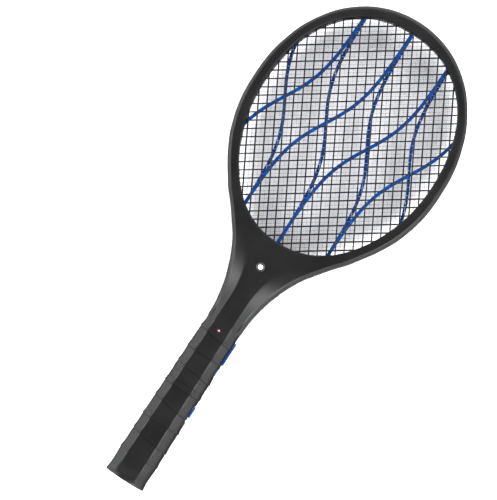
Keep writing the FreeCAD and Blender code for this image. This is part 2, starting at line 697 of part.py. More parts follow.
feature("power_switch_knob", ribbed_knob(PK, 7.4, 6.6, 17.95, 20.2, 11.2, 4))
turned("push_button", [("0", "13.45"), ("2.0", "13.45"), ("2.0", "15.0"), ("5.1", "15.0"), ("5.1", "15.9"), ("4.3", "15.9"), ("4.3", "18.4"),
                       ("3.9", "18.75"), ("2.6", "19.0"), ("0", "19.1")], at=("0", "dims.button_station", "0"), rot=(V(0, 0, 1), -90))
turned("push_switch_plunger", [("0", "11.0"), ("1.7", "11.0"), ("1.7", "13.4"), ("0", "13.4")], at=("0", "dims.button_station", "0.9"),
       rot=(V(0, 0, 1), -90))
rot_led = (V(1, 0, 0), 90 - lean)
turned("throat_led", [("0", "-6"), ("2.5", "-6"), ("2.5", "-0.2"), ("2.1", "0.4"), ("1.2", "0.75"), ("0", "0.9")],
       at=("0", "%.6f" % led_p.y, "%.6f" % led_p.z), rot=rot_led)
turned("throat_led_ring", [("2.55", "-2.6"), ("4.3", "-2.6"), ("4.3", "0.15"), ("3.6", "0.45"), ("2.55", "-0.3")],
       at=("0", "%.6f" % led_p.y, "%.6f" % led_p.z), rot=rot_led)
turned("indicator_led", [("0", "-6"), ("1.5", "-6"), ("1.5", "0"), ("1.2", "0.5"), ("0.6", "0.8"), ("0", "0.85")],
       at=("0", "dims.lamp_station", "%.6f" % lamp_z), rot=(V(1, 0, 0), 90))

# ------------------------------------------------------------------ torch
TE = g("torch_end")
TB, TK = g("torch_base_station"), g("torch_knob_station")
ty = [0.6, 3.0, 6.0, 9.0, 12.0, 15.0, 18.0, 21.4, 24.8] + stations(24.8, 106.8)[1:]


tw = [section_wire(y) for y in ty] + [section_wire(107.05, 0.6, flat=1), section_wire(107.6, 0.6, flat=1)] + \
     [section_wire(107.9, 0.0, flat=1), section_wire(111.0, 0.0, flat=1), section_wire(TE - 0.6, 0.0, flat=1), section_wire(TE, 0.6, flat=1)]
t_out = stack(tw)
t_in = stack([section_wire(y, WALL) for y in ty] + [section_wire(110.0, WALL + 0.2, flat=1), section_wire(TE - 2.2, WALL + 0.2, flat=1)])
t_shell = t_out.cut(t_in)
t_shell = t_shell.cut([cyl(19.3, (0, -1, 0), (0, 1, 0), 4.4), cyl(18.5, (0, 3, 0), (0, 1, 0), 3.0)])
TS = [(13.4, 36.0), (-13.4, 36.0), (-13.4, 101.5), (13.4, 103.0)]
t_hole = racetrack(19.1, 11.1, 12.0, 10.0, TB).fuse(racetrack(21.2, 13.4, 2.6, 14.1, TB))
plug_hole = cyl(4.1, (0, 110, 0), (0, 1, 0), 10)


def torch_half(sign, boss, tools):
    s = t_shell.fuse([cyl(boss, (x, y, -30), (0, 0, 1), 60).common(t_out) for x, y in TS])
    box = slab(-40, 40, -5, 130, 0, 40) if sign > 0 else slab(-40, 40, -5, 130, -40, 0)
    return s.common(box).cut(tools + [t_hole, plug_hole]).removeSplitter()


feature("torch_front_shell", torch_half(1, 2.5, [cyl(SR, (x, y, -1), (0, 0, 1), 8.0) for x, y in TS]))
feature("torch_rear_shell", torch_half(-1, 3.1, [cyl(SR + 0.25, (x, y, -20), (0, 0, 1), 21) for x, y in TS] +
                                       [cyl(SH + 0.15, (x, y, -28), (0, 0, 1), 20) for x, y in TS]))
group("torch_screws", [screw(x, y) for x, y in TS])

turned("torch_lens_rim", [("17.6", "0"), ("dims.rim_radius - 0.5", "0"), ("dims.rim_radius", "0.3"), ("dims.rim_radius", "0.55"), ("19.2", "0.55"), ("19.2", "3.2"), ("17.6", "3.2")])
turned("torch_lens", [("0", "0.4"), ("9", "0.5"), ("17.5", "1.2"), ("17.5", "2.8"), ("0", "2.8")])
turned("torch_reflector", [("17.4", "3.3"), ("18.3", "3.3"), ("14.8", "11"), ("9.6", "17.5"), ("4.6", "20.2"), ("2.6", "20.2"), ("2.6", "19.6"),
                           ("4.3", "19.5"), ("9.0", "16.8"), ("14.0", "10.6")])
turned("torch_led", [("0", "20.2"), ("2.4", "20.2"), ("2.4", "18.6"), ("1.6", "17.6"), ("0", "17.2")])
turned("torch_led_board", [("0", "20.3"), ("10.5", "20.3"), ("10.5", "21.9"), ("0", "21.9")])
turned("torch_cell", [("0", "26"), ("dims.cell_radius - 0.6", "26"), ("dims.cell_radius", "26.6"), ("dims.cell_radius", "26 + dims.cell_length - 1.6"),
                      ("dims.cell_radius - 0.6", "25 + dims.cell_length"), ("3.0", "25 + dims.cell_length"),
                      ("2.9", "26 + dims.cell_length"), ("0", "26 + dims.cell_length")])
turned("cell_front_contact", [("0", "22.0"), ("5.0", "22.0"), ("2.5", "25.95"), ("0", "25.95")])
turned("cell_rear_contact", [("0", "26.05 + dims.cell_length"), ("3.4", "26.05 + dims.cell_length"), ("3.4", "94.5"), ("0", "94.5")])
padded("torch_charge_board", "XZ_Plane", [("-10.5", "-12"), ("10.5", "-12"), ("10.5", "12"), ("-10.5", "12")], "1.6", at=("0", "96.2", "0"))
group("charge_board_parts", [slab(-7, -1.5, 96.25, 98.6, -6, 0), slab(2, 6.5, 96.25, 98.4, 4, 8), slab(-6, -3.4, 96.25, 98.0, 4, 8)])
cut("torch_switch_body", block("tsw_case", "4.0", "18", "7", "10.3", "dims.torch_base_station - 9", "-3.5"),
    block("tsw_slot", "3.2", "dims.torch_travel + 4", "2.2", "11.3", "dims.torch_knob_station - dims.torch_travel - 2", "-1.1"))
tb = racetrack(19.0, 11.0, 1.75, 16.55, TB).fuse(racetrack(20.8, 13.0, 0.9, 15.65, TB))
tb = tb.cut(slab(14, 20, TK - g("torch_travel") - 1.6, TK + 1.6, -1.15, 1.15)).removeSplitter()
feature("torch_switch_base", tb)
feature("torch_switch_knob", ribbed_knob(TK, 12.0, 8.4, 18.55, 20.3, 11.7, 6))

# barrel plug: hollow silver sleeve, collar inside the torch, insulating tip ring
turned("barrel_plug", [("1.05", "dims.torch_end - 10"), ("4.0", "dims.torch_end - 10"), ("4.0", "dims.torch_end + 0.2 - 0.3"),
                       ("dims.plug_radius", "dims.torch_end - 0.1"), ("dims.plug_radius", "dims.torch_end + dims.plug_length - 0.9"),
                       ("1.75", "dims.torch_end + dims.plug_length - 0.9"), ("1.75", "dims.torch_end - 6"), ("1.05", "dims.torch_end - 6")])
turned("plug_insulator", [("1.05", "dims.torch_end - 5.9"), ("1.7", "dims.torch_end - 5.9"), ("1.7", "dims.torch_end + dims.plug_length - 0.9"),
                          ("dims.plug_radius", "dims.torch_end + dims.plug_length - 0.88"), ("2.5", "dims.torch_end + dims.plug_length"),
                          ("1.05", "dims.torch_end + dims.plug_length")])
group("torch_leads", [lead("ta", [(-2.5, 97.9, 9.5), (-2.5, 102, 8), (-3.1, 104.8, 2.0)], 0.5),
                      lead("tb", [(2.5, 97.9, -9.5), (2.5, 102, -8), (3.1, 104.8, -2.0)], 0.5)])

# ------------------------------------------------------------------ checks and export
doc.recompute()
bad = []
for o in doc.Objects:
    if any(s in ("Invalid", "Error") for s in o.State):
        bad.append("%s is %s" % (o.Name, o.State))
for o in PARTS:
    if o.Shape.isNull() or not o.Shape.isValid() or not o.Shape.Solids:
        bad.append("%s has a null or invalid shape" % o.Label)
if bad:
    raise RuntimeError("; ".join(bad))
os.makedirs("parts", exist_ok=True)
lo, hi = [1e9] * 3, [-1e9] * 3
for o in PARTS:
    o.Shape.exportStep("parts/%s.step" % o.Label)
    print("%-28s solids %3d  volume %9.1f" % (o.Label, len(o.Shape.Solids), o.Shape.Volume))
print(len(PARTS), "sub-parts")
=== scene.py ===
import bpy
import bmesh
import math
from mathutils import Vector, Matrix, noise


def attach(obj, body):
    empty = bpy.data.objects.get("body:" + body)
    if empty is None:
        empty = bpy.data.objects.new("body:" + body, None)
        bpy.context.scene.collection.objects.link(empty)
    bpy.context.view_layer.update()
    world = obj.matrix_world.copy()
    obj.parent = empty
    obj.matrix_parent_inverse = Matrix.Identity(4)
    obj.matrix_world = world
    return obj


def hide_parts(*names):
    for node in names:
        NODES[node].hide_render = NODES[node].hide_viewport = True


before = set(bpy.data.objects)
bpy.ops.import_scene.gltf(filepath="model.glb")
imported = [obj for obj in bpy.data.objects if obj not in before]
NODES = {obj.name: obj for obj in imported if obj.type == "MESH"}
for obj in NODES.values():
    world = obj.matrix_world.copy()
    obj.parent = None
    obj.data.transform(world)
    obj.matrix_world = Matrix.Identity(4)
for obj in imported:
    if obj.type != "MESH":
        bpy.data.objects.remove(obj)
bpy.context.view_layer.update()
scene = bpy.context.scene

# ---------------------------------------------------------------- frame of reference
# Stations run from the torch lens (0) to the head tip (517.5), in millimetres; X is
# to the switch side and Z is measured from the seam between the shells.
YC, ZC = 258.75, 20.9


def P(x, y, z):
    return Vector((x / 1000.0, (y - YC) / 1000.0, (z + ZC) / 1000.0))


def interp(table, t):
    if t <= table[0][0]:
        return table[0][1]
    for (a, p), (b, q) in zip(table, table[1:]):
        if t <= b:
            return p + (q - p) * (t - a) / (b - a)
    return table[-1][1]


def smooth_table(table):
    """Cubic (Catmull-Rom) version of a table, as a function."""
    xs = [a for a, _ in table]
    ys = [b for _, b in table]
    n = len(xs)
    ms = []
    for i in range(n):
        if i == 0:
            ms.append((ys[1] - ys[0]) / (xs[1] - xs[0]))
        elif i == n - 1:
            ms.append((ys[-1] - ys[-2]) / (xs[-1] - xs[-2]))
        else:
            ms.append((ys[i + 1] - ys[i - 1]) / (xs[i + 1] - xs[i - 1]))

    def f(t):
        if t <= xs[0]:
            return ys[0]
        if t >= xs[-1]:
            return ys[-1]
        for i in range(n - 1):
            if t <= xs[i + 1]:
                w = xs[i + 1] - xs[i]
                u = (t - xs[i]) / w
                a = 2 * u ** 3 - 3 * u ** 2 + 1
                b = u ** 3 - 2 * u ** 2 + u
                c = -2 * u ** 3 + 3 * u ** 2
                d = u ** 3 - u ** 2
                return a * ys[i] + b * w * ms[i] + c * ys[i + 1] + d * w * ms[i + 1]
    return f


RIDGES = [0.0, 24.8, 44.0, 63.0, 82.0, 101.0, 121.0, 140.0, 160.0, 178.0]
LEAN = [(0, 0), (24.8, 0), (44, 3), (63, 0), (82, 3), (101, 0), (116.8, 0), (121, 3), (140, 0), (160, 3), (173, 0)]
CREST = [(0, 20.9), (24.8, 20.4), (44, 20.1), (63, 20.0), (82, 19.8), (101, 19.6), (121, 19.35),
         (140, 19.2), (160, 19.1), (178, 18.9)]
THROAT = [(173, 18.1), (184, 18.5), (193, 19.4), (203, 21.2), (214, 23.8), (222, 26.5), (231, 29.8),
          (241, 34.4), (251, 40.0), (262, 48.1)]
PANEL = [(173, 9.1), (205, 9.2), (212, 9.6), (222, 10.6), (235, 13.6), (246, 18.2), (256, 23.0), (262, 26.5), (272, 33.5)]
FRONT_CAD = [(173, 17.4), (200, 17.4), (212, 17.0), (225, 15.9), (240, 13.8), (250, 12.0), (257, 10.9), (262, 10.5)]
FRONT = [(173, 17.2), (186, 17.4), (200, 17.4), (212, 17.0), (225, 15.9), (240, 13.8), (250, 12.5), (257, 11.7), (264, 11.25), (270, 11.1),
         (280, 10.9), (300, 10.5)]
OUTER = [(251, 40.0), (262, 48.1), (269, 53.3), (277, 59.7), (285, 66.7), (296.7, 75.0), (308.2, 82.8), (319.6, 89.4),
         (331, 95.0), (342.6, 99.1), (354, 102.3), (365.6, 104.5), (377, 105.6), (391, 105.9),
         (406, 105.4), (417, 104.2), (428.7, 101.9), (440, 98.6), (451.7, 94.5), (463, 88.8),
         (474.7, 81.3), (486, 72.3), (497.6, 59.3), (506.5, 45.5), (513.5, 28.0), (517.5, 0.0)]
INNER = [(268.0, 0.0), (269.3, 15.0), (273.3, 29.0), (280, 42.4), (289, 54.0), (302, 65.8), (320, 77.5),
         (340, 86.2), (360, 91.9), (378, 94.4), (394, 94.9), (410, 94.0), (425, 91.6), (440, 87.8), (455, 81.8),
         (468, 74.2), (480, 64.2), (490, 52.2), (498, 38.5), (503.4, 20.5), (505.2, 0.0)]
GRIP_DEPTH, SCALLOP = 18.2, 0.8
RIM, BEV, WALL = 10.5, 7.0, 2.0


# ---------------------------------------------------------------- small helpers
def make_mesh(name, verts, faces, smooth=True):
    me = bpy.data.meshes.new(name)
    me.from_pydata([tuple(v) for v in verts], [], faces)
    me.validate()
    if smooth:
        for p in me.polygons:
            p.use_smooth = True
    ob = bpy.data.objects.new(name, me)
    scene.collection.objects.link(ob)
    return ob


def apply_modifiers(ob):
    dg = bpy.context.evaluated_depsgraph_get()
    dg.update()
    me = bpy.data.meshes.new_from_object(ob.evaluated_get(dg))
    old = ob.data
    ob.modifiers.clear()
    ob.data = me
    bpy.data.meshes.remove(old)
    return ob


def autosmooth(ob, degrees):
    """Smooth shading with sharp edges kept where faces turn by more than the angle."""
    me = ob.data
    me.polygons.foreach_set("use_smooth", [True] * len(me.polygons))
    me.set_sharp_from_angle(angle=math.radians(degrees))
    me.update()


def weld(ob, dist=1e-6):
    bm = bmesh.new()
    bm.from_mesh(ob.data)
    bmesh.ops.remove_doubles(bm, verts=bm.verts, dist=dist)
    bmesh.ops.recalc_face_normals(bm, faces=bm.faces)
    bm.to_mesh(ob.data)
    bm.free()


def cylinder(name, r, a, b, seg=48):
    """Cutter: a cylinder of radius r mm from point a to point b."""
    r = r / 1000.0
    d = b - a
    z = d.normalized()
    x = z.orthogonal().normalized()
    y = z.cross(x)
    verts, faces = [], []
    for q in (a, b):
        for i in range(seg):
            t = 2 * math.pi * i / seg
            verts.append(q + x * (r * math.cos(t)) + y * (r * math.sin(t)))
    for i in range(seg):
        j = (i + 1) % seg
        faces.append((i, j, seg + j, seg + i))
    faces.append(tuple(range(seg))[::-1])
    faces.append(tuple(range(seg, 2 * seg)))
    return make_mesh(name, verts, faces, smooth=False)


def racetrack_cutter(name, length, width, yc, x0, x1, seg=16):
    r = width / 2.0
    h = length / 2.0 - r
    ring = []
    for i in range(seg + 1):
        t = math.pi * i / seg
        ring.append((yc + h + r * math.sin(t), r * math.cos(t)))
    for i in range(seg + 1):
        t = math.pi * i / seg
        ring.append((yc - h - r * math.sin(t), -r * math.cos(t)))
    n = len(ring)
    verts = [P(x0, y, z) for y, z in ring] + [P(x1, y, z) for y, z in ring]
    faces = [(i, (i + 1) % n, n + (i + 1) % n, n + i) for i in range(n)]
    faces += [tuple(range(n))[::-1], tuple(range(n, 2 * n))]
    ob = make_mesh(name, verts, faces, smooth=False)
    weld(ob)
    return ob


def cut_with(ob, cutters):
    """One boolean with all the cutters, which don't touch each other."""
    if not cutters:
        return ob
    bm = bmesh.new()
    for c in cutters:
        bm.from_mesh(c.data)
    bmesh.ops.recalc_face_normals(bm, faces=bm.faces)
    me = bpy.data.meshes.new("cutters")
    bm.to_mesh(me)
    bm.free()
    tool = bpy.data.objects.new("cutters", me)
    scene.collection.objects.link(tool)
    m = ob.modifiers.new("cut", "BOOLEAN")
    m.operation = "DIFFERENCE"
    m.solver = "MANIFOLD"
    m.object = tool
    apply_modifiers(ob)
    for c in cutters + [tool]:
        bpy.data.objects.remove(c)
    return ob


# ---------------------------------------------------------------- materials
def nodes_of(mat):
    mat.use_nodes = True
    nt = mat.node_tree
    nt.nodes.clear()
    return nt, nt.nodes, nt.links


def base_material(name):
    mat = bpy.data.materials.new(name)
    nt, N, L = nodes_of(mat)
    out = N.new("ShaderNodeOutputMaterial")
    bs = N.new("ShaderNodeBsdfPrincipled")
    L.new(bs.outputs["BSDF"], out.inputs["Surface"])
    co = N.new("ShaderNodeTexCoord")
    return mat, N, L, bs, co


def noise_node(N, L, co, scale, detail=4.0, rough=0.55, distortion=0.0):
    n = N.new("ShaderNodeTexNoise")
    n.inputs["Scale"].default_value = scale
    n.inputs["Detail"].default_value = detail
    n.inputs["Roughness"].default_value = rough
    n.inputs["Distortion"].default_value = distortion
    L.new(co.outputs["Object"], n.inputs["Vector"])
    return n


def ramp(N, L, source, stops):
    r = N.new("ShaderNodeValToRGB")
    el = r.color_ramp.elements
    while len(el) > 1:
        el.remove(el[-1])
    el[0].position = stops[0][0]
    el[0].color = stops[0][1]
    for p, c in stops[1:]:
        e = el.new(p)
        e.color = c
    L.new(source, r.inputs["Fac"])
    return r


def grey(v):
    return (v, v, v, 1.0)


def moulded(name, dark, mid, light, rough=(0.38, 0.52), grain=0.00005, grain_scale=1900.0, coat=0.0, wear=0.0, specular=0.5, side_shade_specular=None):
    """Moulded plastic: fine spark-eroded grain, slight colour drift, uneven gloss.  With a wall level given, faces
    that stand upright get that low specular level instead: painted shade that keeps the side walls dark."""
    mat, N, L, bs, co = base_material(name)
    drift = noise_node(N, L, co, 26.0, 5.0, 0.6)
    fine = noise_node(N, L, co, 900.0, 3.0, 0.6)
    col = ramp(N, L, drift.outputs["Fac"], [(0.30, dark), (0.52, mid), (0.74, light)])
    mix = N.new("ShaderNodeMix")
    mix.data_type = "RGBA"
    mix.blend_type = "MULTIPLY"
    mix.inputs[0].default_value = 0.35
    L.new(col.outputs["Color"], mix.inputs[6])
    fr = ramp(N, L, fine.outputs["Fac"], [(0.35, grey(0.72)), (0.65, grey(1.0))])
    L.new(fr.outputs["Color"], mix.inputs[7])
    last = mix.outputs[2]
    if wear > 0:
        geo = N.new("ShaderNodeNewGeometry")
        edge = ramp(N, L, geo.outputs["Pointiness"], [(0.515, grey(0.0)), (0.56, grey(1.0))])
        rub = noise_node(N, L, co, 140.0, 6.0, 0.7)
        rr = ramp(N, L, rub.outputs["Fac"], [(0.42, grey(0.0)), (0.62, grey(1.0))])
        mm = N.new("ShaderNodeMath")
        mm.operation = "MULTIPLY"
        L.new(edge.outputs["Color"], mm.inputs[0])
        L.new(rr.outputs["Color"], mm.inputs[1])
        m3 = N.new("ShaderNodeMath")
        m3.operation = "MULTIPLY"
        m3.inputs[1].default_value = wear
        L.new(mm.outputs[0], m3.inputs[0])
        mw = N.new("ShaderNodeMix")
        mw.data_type = "RGBA"
        L.new(m3.outputs[0], mw.inputs[0])
        L.new(last, mw.inputs[6])
        mw.inputs[7].default_value = tuple(min(1.0, c * 2.6 + 0.03) for c in light[:3]) + (1.0,)
        last = mw.outputs[2]
    L.new(last, bs.inputs["Base Color"])
    rg = ramp(N, L, drift.outputs["Fac"], [(0.3, grey(rough[0])), (0.7, grey(rough[1]))])
    L.new(rg.outputs["Color"], bs.inputs["Roughness"])
    if side_shade_specular is None:
        bs.inputs["Specular IOR Level"].default_value = specular
    else:
        # painted shade: faces whose normal is nearly level get almost no specular, so the upright side walls stay dark
        sp = N.new("ShaderNodeSeparateXYZ")
        L.new(co.outputs["Normal"], sp.inputs["Vector"])
        ab = N.new("ShaderNodeMath")
        ab.operation = "ABSOLUTE"
        L.new(sp.outputs["Z"], ab.inputs[0])
        wr = ramp(N, L, ab.outputs[0], [(0.34, grey(side_shade_specular)), (0.64, grey(specular))])
        L.new(wr.outputs["Color"], bs.inputs["Specular IOR Level"])
    if coat:
        bs.inputs["Coat Weight"].default_value = coat
        bs.inputs["Coat Roughness"].default_value = 0.12
    if grain:
        vor = N.new("ShaderNodeTexVoronoi")
        vor.inputs["Scale"].default_value = grain_scale
        L.new(co.outputs["Object"], vor.inputs["Vector"])
        bump = N.new("ShaderNodeBump")
        bump.inputs["Strength"].default_value = 0.35
        bump.inputs["Distance"].default_value = grain
        L.new(vor.outputs["Distance"], bump.inputs["Height"])
        L.new(bump.outputs["Normal"], bs.inputs["Normal"])
    return mat


def metal(name, dark, light, rough=(0.22, 0.38), scale=60.0, streak=(1, 1, 1), bump_d=0.00003):
    mat, N, L, bs, co = base_material(name)
    mp = N.new("ShaderNodeMapping")
    mp.inputs["Scale"].default_value = streak
    L.new(co.outputs["Object"], mp.inputs["Vector"])
    n1 = N.new("ShaderNodeTexNoise")
    n1.inputs["Scale"].default_value = scale
    n1.inputs["Detail"].default_value = 6.0
    n1.inputs["Roughness"].default_value = 0.65
    L.new(mp.outputs["Vector"], n1.inputs["Vector"])
    c = ramp(N, L, n1.outputs["Fac"], [(0.3, dark), (0.7, light)])
    L.new(c.outputs["Color"], bs.inputs["Base Color"])
    r = ramp(N, L, n1.outputs["Fac"], [(0.3, grey(rough[1])), (0.7, grey(rough[0]))])
    L.new(r.outputs["Color"], bs.inputs["Roughness"])
    bs.inputs["Metallic"].default_value = 1.0
    n2 = noise_node(N, L, co, 1400.0, 2.0, 0.5)
    bump = N.new("ShaderNodeBump")
    bump.inputs["Strength"].default_value = 0.25
    bump.inputs["Distance"].default_value = bump_d
    L.new(n2.outputs["Fac"], bump.inputs["Height"])
    L.new(bump.outputs["Normal"], bs.inputs["Normal"])
    return mat


def board_material(name):
    mat, N, L, bs, co = base_material(name)
    vor = N.new("ShaderNodeTexVoronoi")
    vor.distance = "CHEBYCHEV"
    vor.inputs["Scale"].default_value = 260.0
    L.new(co.outputs["Object"], vor.inputs["Vector"])
    c = ramp(N, L, vor.outputs["Distance"], [(0.30, (0.010, 0.11, 0.035, 1)), (0.36, (0.02, 0.17, 0.06, 1)), (0.70, (0.012, 0.125, 0.04, 1))])
    L.new(c.outputs["Color"], bs.inputs["Base Color"])
    n = noise_node(N, L, co, 50.0)
    r = ramp(N, L, n.outputs["Fac"], [(0.3, grey(0.22)), (0.7, grey(0.36))])
    L.new(r.outputs["Color"], bs.inputs["Roughness"])
    return mat


def lit(name, core, edge, strength, rough=0.12, centre=None, radii=None):
    """Lit lamp lens: bright core that falls off to a tinted edge."""
    mat, N, L, bs, co = base_material(name)
    n = noise_node(N, L, co, 180.0)
    if centre is None:
        c = ramp(N, L, n.outputs["Fac"], [(0.35, core), (0.65, edge)])
    else:
        dist = N.new("ShaderNodeVectorMath")
        dist.operation = "DISTANCE"
        dist.inputs[1].default_value = centre
        L.new(co.outputs["Object"], dist.inputs[0])
        sc = N.new("ShaderNodeMath")
        sc.operation = "MULTIPLY_ADD"
        sc.inputs[1].default_value = 1000.0 / 6.0
        L.new(dist.outputs["Value"], sc.inputs[0])
        sm = N.new("ShaderNodeMath")
        sm.operation = "MULTIPLY"
        sm.inputs[1].default_value = 0.02
        L.new(n.outputs["Fac"], sm.inputs[0])
        L.new(sm.outputs[0], sc.inputs[2])
        c = ramp(N, L, sc.outputs[0], [(radii[0] / 6.0, core), (radii[1] / 6.0, edge)])
    L.new(c.outputs["Color"], bs.inputs["Base Color"])
    L.new(c.outputs["Color"], bs.inputs["Emission Color"])
    bs.inputs["Emission Strength"].default_value = strength
    bs.inputs["Roughness"].default_value = rough
    return mat


def local(node, p):
    return tuple(NODES[node].matrix_world.inverted() @ p)


def clear_lens(name):
    mat, N, L, bs, co = base_material(name)
    n = noise_node(N, L, co, 40.0)
    c = ramp(N, L, n.outputs["Fac"], [(0.3, (0.80, 0.91, 0.98, 1)), (0.7, (0.92, 0.97, 1.0, 1))])
    L.new(c.outputs["Color"], bs.inputs["Base Color"])
    r = ramp(N, L, n.outputs["Fac"], [(0.3, grey(0.03)), (0.7, grey(0.08))])
    L.new(r.outputs["Color"], bs.inputs["Roughness"])
    bs.inputs["Transmission Weight"].default_value = 0.9
    bs.inputs["IOR"].default_value = 1.49
    return mat


M = {}
# the black shells get painted shade on their upright side walls through the wall specular level
M["black"] = moulded("black_abs", (0.0044, 0.0044, 0.0047, 1), (0.0056, 0.0056, 0.0059, 1), (0.0075, 0.0075, 0.0078, 1), rough=(0.37, 0.46),
                     wear=0.12, specular=0.18, side_shade_specular=0.006)
M["black_trim"] = moulded("black_trim", (0.006, 0.006, 0.006, 1), (0.009, 0.009, 0.009, 1), (0.012, 0.012, 0.012, 1), rough=(0.45, 0.6))
M["rib"] = moulded("rib_blue", (0.0005, 0.030, 0.15, 1), (0.0007, 0.040, 0.20, 1), (0.001, 0.052, 0.24, 1), rough=(0.38, 0.5), specular=0.12)
# painted shade: the switch blues are darker than the rib blue, for the shade on the switch side of the grip
M["blue"] = moulded("switch_blue", (0.0008, 0.026, 0.125, 1), (0.001, 0.036, 0.165, 1), (0.002, 0.047, 0.20, 1), rough=(0.28, 0.38), specular=0.35, coat=0.08)
M["dark_blue"] = moulded("switch_dark_blue", (0.001, 0.016, 0.09, 1), (0.001, 0.023, 0.125, 1), (0.002, 0.032, 0.16, 1), rough=(0.3, 0.42), specular=0.3, coat=0.05)
M["light_blue"] = moulded("switch_light_blue", (0.0008, 0.028, 0.125, 1), (0.001, 0.038, 0.165, 1), (0.002, 0.050, 0.20, 1), rough=(0.28, 0.38), specular=0.35, coat=0.08)
M["wire"] = metal("mesh_wire", (0.020, 0.0195, 0.021, 1), (0.055, 0.054, 0.058, 1), rough=(0.30, 0.46), scale=90.0)
M["bright_wire"] = metal("grid_wire", (0.42, 0.43, 0.45, 1), (0.62, 0.63, 0.64, 1), rough=(0.22, 0.38), scale=90.0)
M["steel"] = metal("screw_steel", (0.45, 0.45, 0.46, 1), (0.68, 0.68, 0.69, 1))
M["nickel"] = metal("nickel", (0.62, 0.62, 0.63, 1), (0.86, 0.86, 0.85, 1), rough=(0.12, 0.24), scale=120.0)
M["chrome"] = metal("reflector_chrome", (0.78, 0.80, 0.83, 1), (0.92, 0.93, 0.95, 1), rough=(0.05, 0.12), scale=40.0, bump_d=0.00001)
M["brass"] = metal("brass", (0.50, 0.34, 0.11, 1), (0.74, 0.55, 0.24, 1))
M["board"] = board_material("solder_mask")
M["ferrite"] = moulded("ferrite", (0.018, 0.018, 0.02, 1), (0.028, 0.028, 0.03, 1), (0.045, 0.045, 0.048, 1), rough=(0.5, 0.7), grain=0.0001, grain_scale=1200.0)
M["winding"] = moulded("winding_tape", (0.45, 0.26, 0.02, 1), (0.6, 0.36, 0.04, 1), (0.7, 0.46, 0.07, 1), rough=(0.25, 0.4))
M["cap"] = moulded("dipped_film", (0.18, 0.018, 0.008, 1), (0.26, 0.03, 0.012, 1), (0.33, 0.045, 0.02, 1), rough=(0.15, 0.28), coat=0.3)
M["component"] = moulded("epoxy", (0.008, 0.008, 0.009, 1), (0.014, 0.014, 0.015, 1), (0.022, 0.022, 0.024, 1), rough=(0.4, 0.6))
M["red_wire"] = moulded("red_insulation", (0.32, 0.008, 0.006, 1), (0.44, 0.014, 0.01, 1), (0.52, 0.03, 0.02, 1), rough=(0.35, 0.5))
M["black_wire"] = moulded("black_insulation", (0.008, 0.008, 0.008, 1), (0.012, 0.012, 0.012, 1), (0.02, 0.02, 0.02, 1), rough=(0.35, 0.5))
M["cell"] = moulded("cell_sleeve", (0.01, 0.12, 0.22, 1), (0.015, 0.17, 0.3, 1), (0.03, 0.22, 0.36, 1), rough=(0.2, 0.3), coat=0.3)
M["led_white"] = lit("led_white", (1.0, 1.0, 1.0, 1), (0.80, 0.90, 1.0, 1), 1.6)
M["throat_white"] = lit("throat_lamp", (1.0, 1.0, 1.0, 1), (0.10, 0.105, 0.11, 1), 1.3, centre=local("throat_led", P(0, 239.5, 14.0)), radii=(1.9, 2.6))
M["led_red"] = lit("led_red", (0.90, 0.36, 0.42, 1), (0.070, 0.004, 0.006, 1), 0.38, centre=local("indicator_led", P(0, 167.5, 17.7)), radii=(0.15, 1.0))
M["lens"] = clear_lens("clear_lens")

ASSIGN = {
    "racket_screws": "steel", "torch_screws": "steel", "front_spacer_ring": "black_trim", "rear_spacer_ring": "black_trim",
    "mesh_contact_clip": "brass", "high_voltage_lead": "red_wire", "ground_lead": "black_wire", "supply_leads": "red_wire",
    "led_legs": "nickel", "circuit_board": "board", "transformer_core": "ferrite", "transformer_winding": "winding",
    "high_voltage_capacitor": "cap", "diodes_and_resistors": "component", "switching_transistor": "component",
    "power_switch_body": "component", "push_switch_body": "component", "dc_socket": "component", "socket_centre_pin": "nickel",
    "power_switch_base": "dark_blue", "power_switch_knob": "blue", "push_button": "blue", "push_switch_plunger": "component",
    "throat_led": "throat_white", "throat_led_ring": "black_trim", "indicator_led": "led_red", "torch_lens_rim": "black",
    "torch_lens": "lens", "torch_reflector": "chrome", "torch_led": "led_white", "torch_led_board": "board", "torch_cell": "cell",
    "cell_front_contact": "nickel", "cell_rear_contact": "nickel", "torch_charge_board": "board", "charge_board_parts": "component",
    "torch_switch_body": "component", "torch_switch_base": "dark_blue", "torch_switch_knob": "light_blue", "barrel_plug": "nickel",
    "plug_insulator": "black_trim", "torch_leads": "red_wire",
}


def give(ob, mat):
    ob.data.materials.clear()
    ob.data.materials.append(mat)
    ob.data.polygons.foreach_set("material_index", [0] * len(ob.data.polygons))


for node, key in ASSIGN.items():
    ob = NODES[node]
    if not ob.material_slots:
        ob.data.materials.append(M[key])
    for s in ob.material_slots:
        s.material = M[key]


# ---------------------------------------------------------------- grip section
def sag(y):
    for a, b in zip(RIDGES, RIDGES[1:]):
        if a <= y <= b:
            if a == 0.0:
                u = y / b
                # smooth flare from the round lens end into the grip
                return 0.95 * math.sin(math.pi * min(1.0, max(0.0, (u - 0.05) / 0.95))) ** 0.8 if 0.05 < u < 1 else 0.0
            u = (y - a) / (b - a)
            return SCALLOP * (1 - (2 * u - 1) ** 2)
    return 0.0


def grip(y):
    full = 0.6 * min(1.0, max(0.0, (y - 8.0) / 15.0)) * min(1.0, max(0.0, (171.0 - y) / 20.0))
    w = interp(CREST, y) - sag(y) + full
    d = GRIP_DEPTH - sag(y) - (0.55 if y > 40 else 0.55 * y / 40.0)
    return w, d, 11.3 - 0.0095 * y - sag(y) * 0.4, BEV + 1.2


def draft(y):
    """How far the side faces fall away between the seam and the bevel."""
    return 2.1 * (1.0 if y <= 150 else max(0.25, 1 - (y - 150) / 30.0))


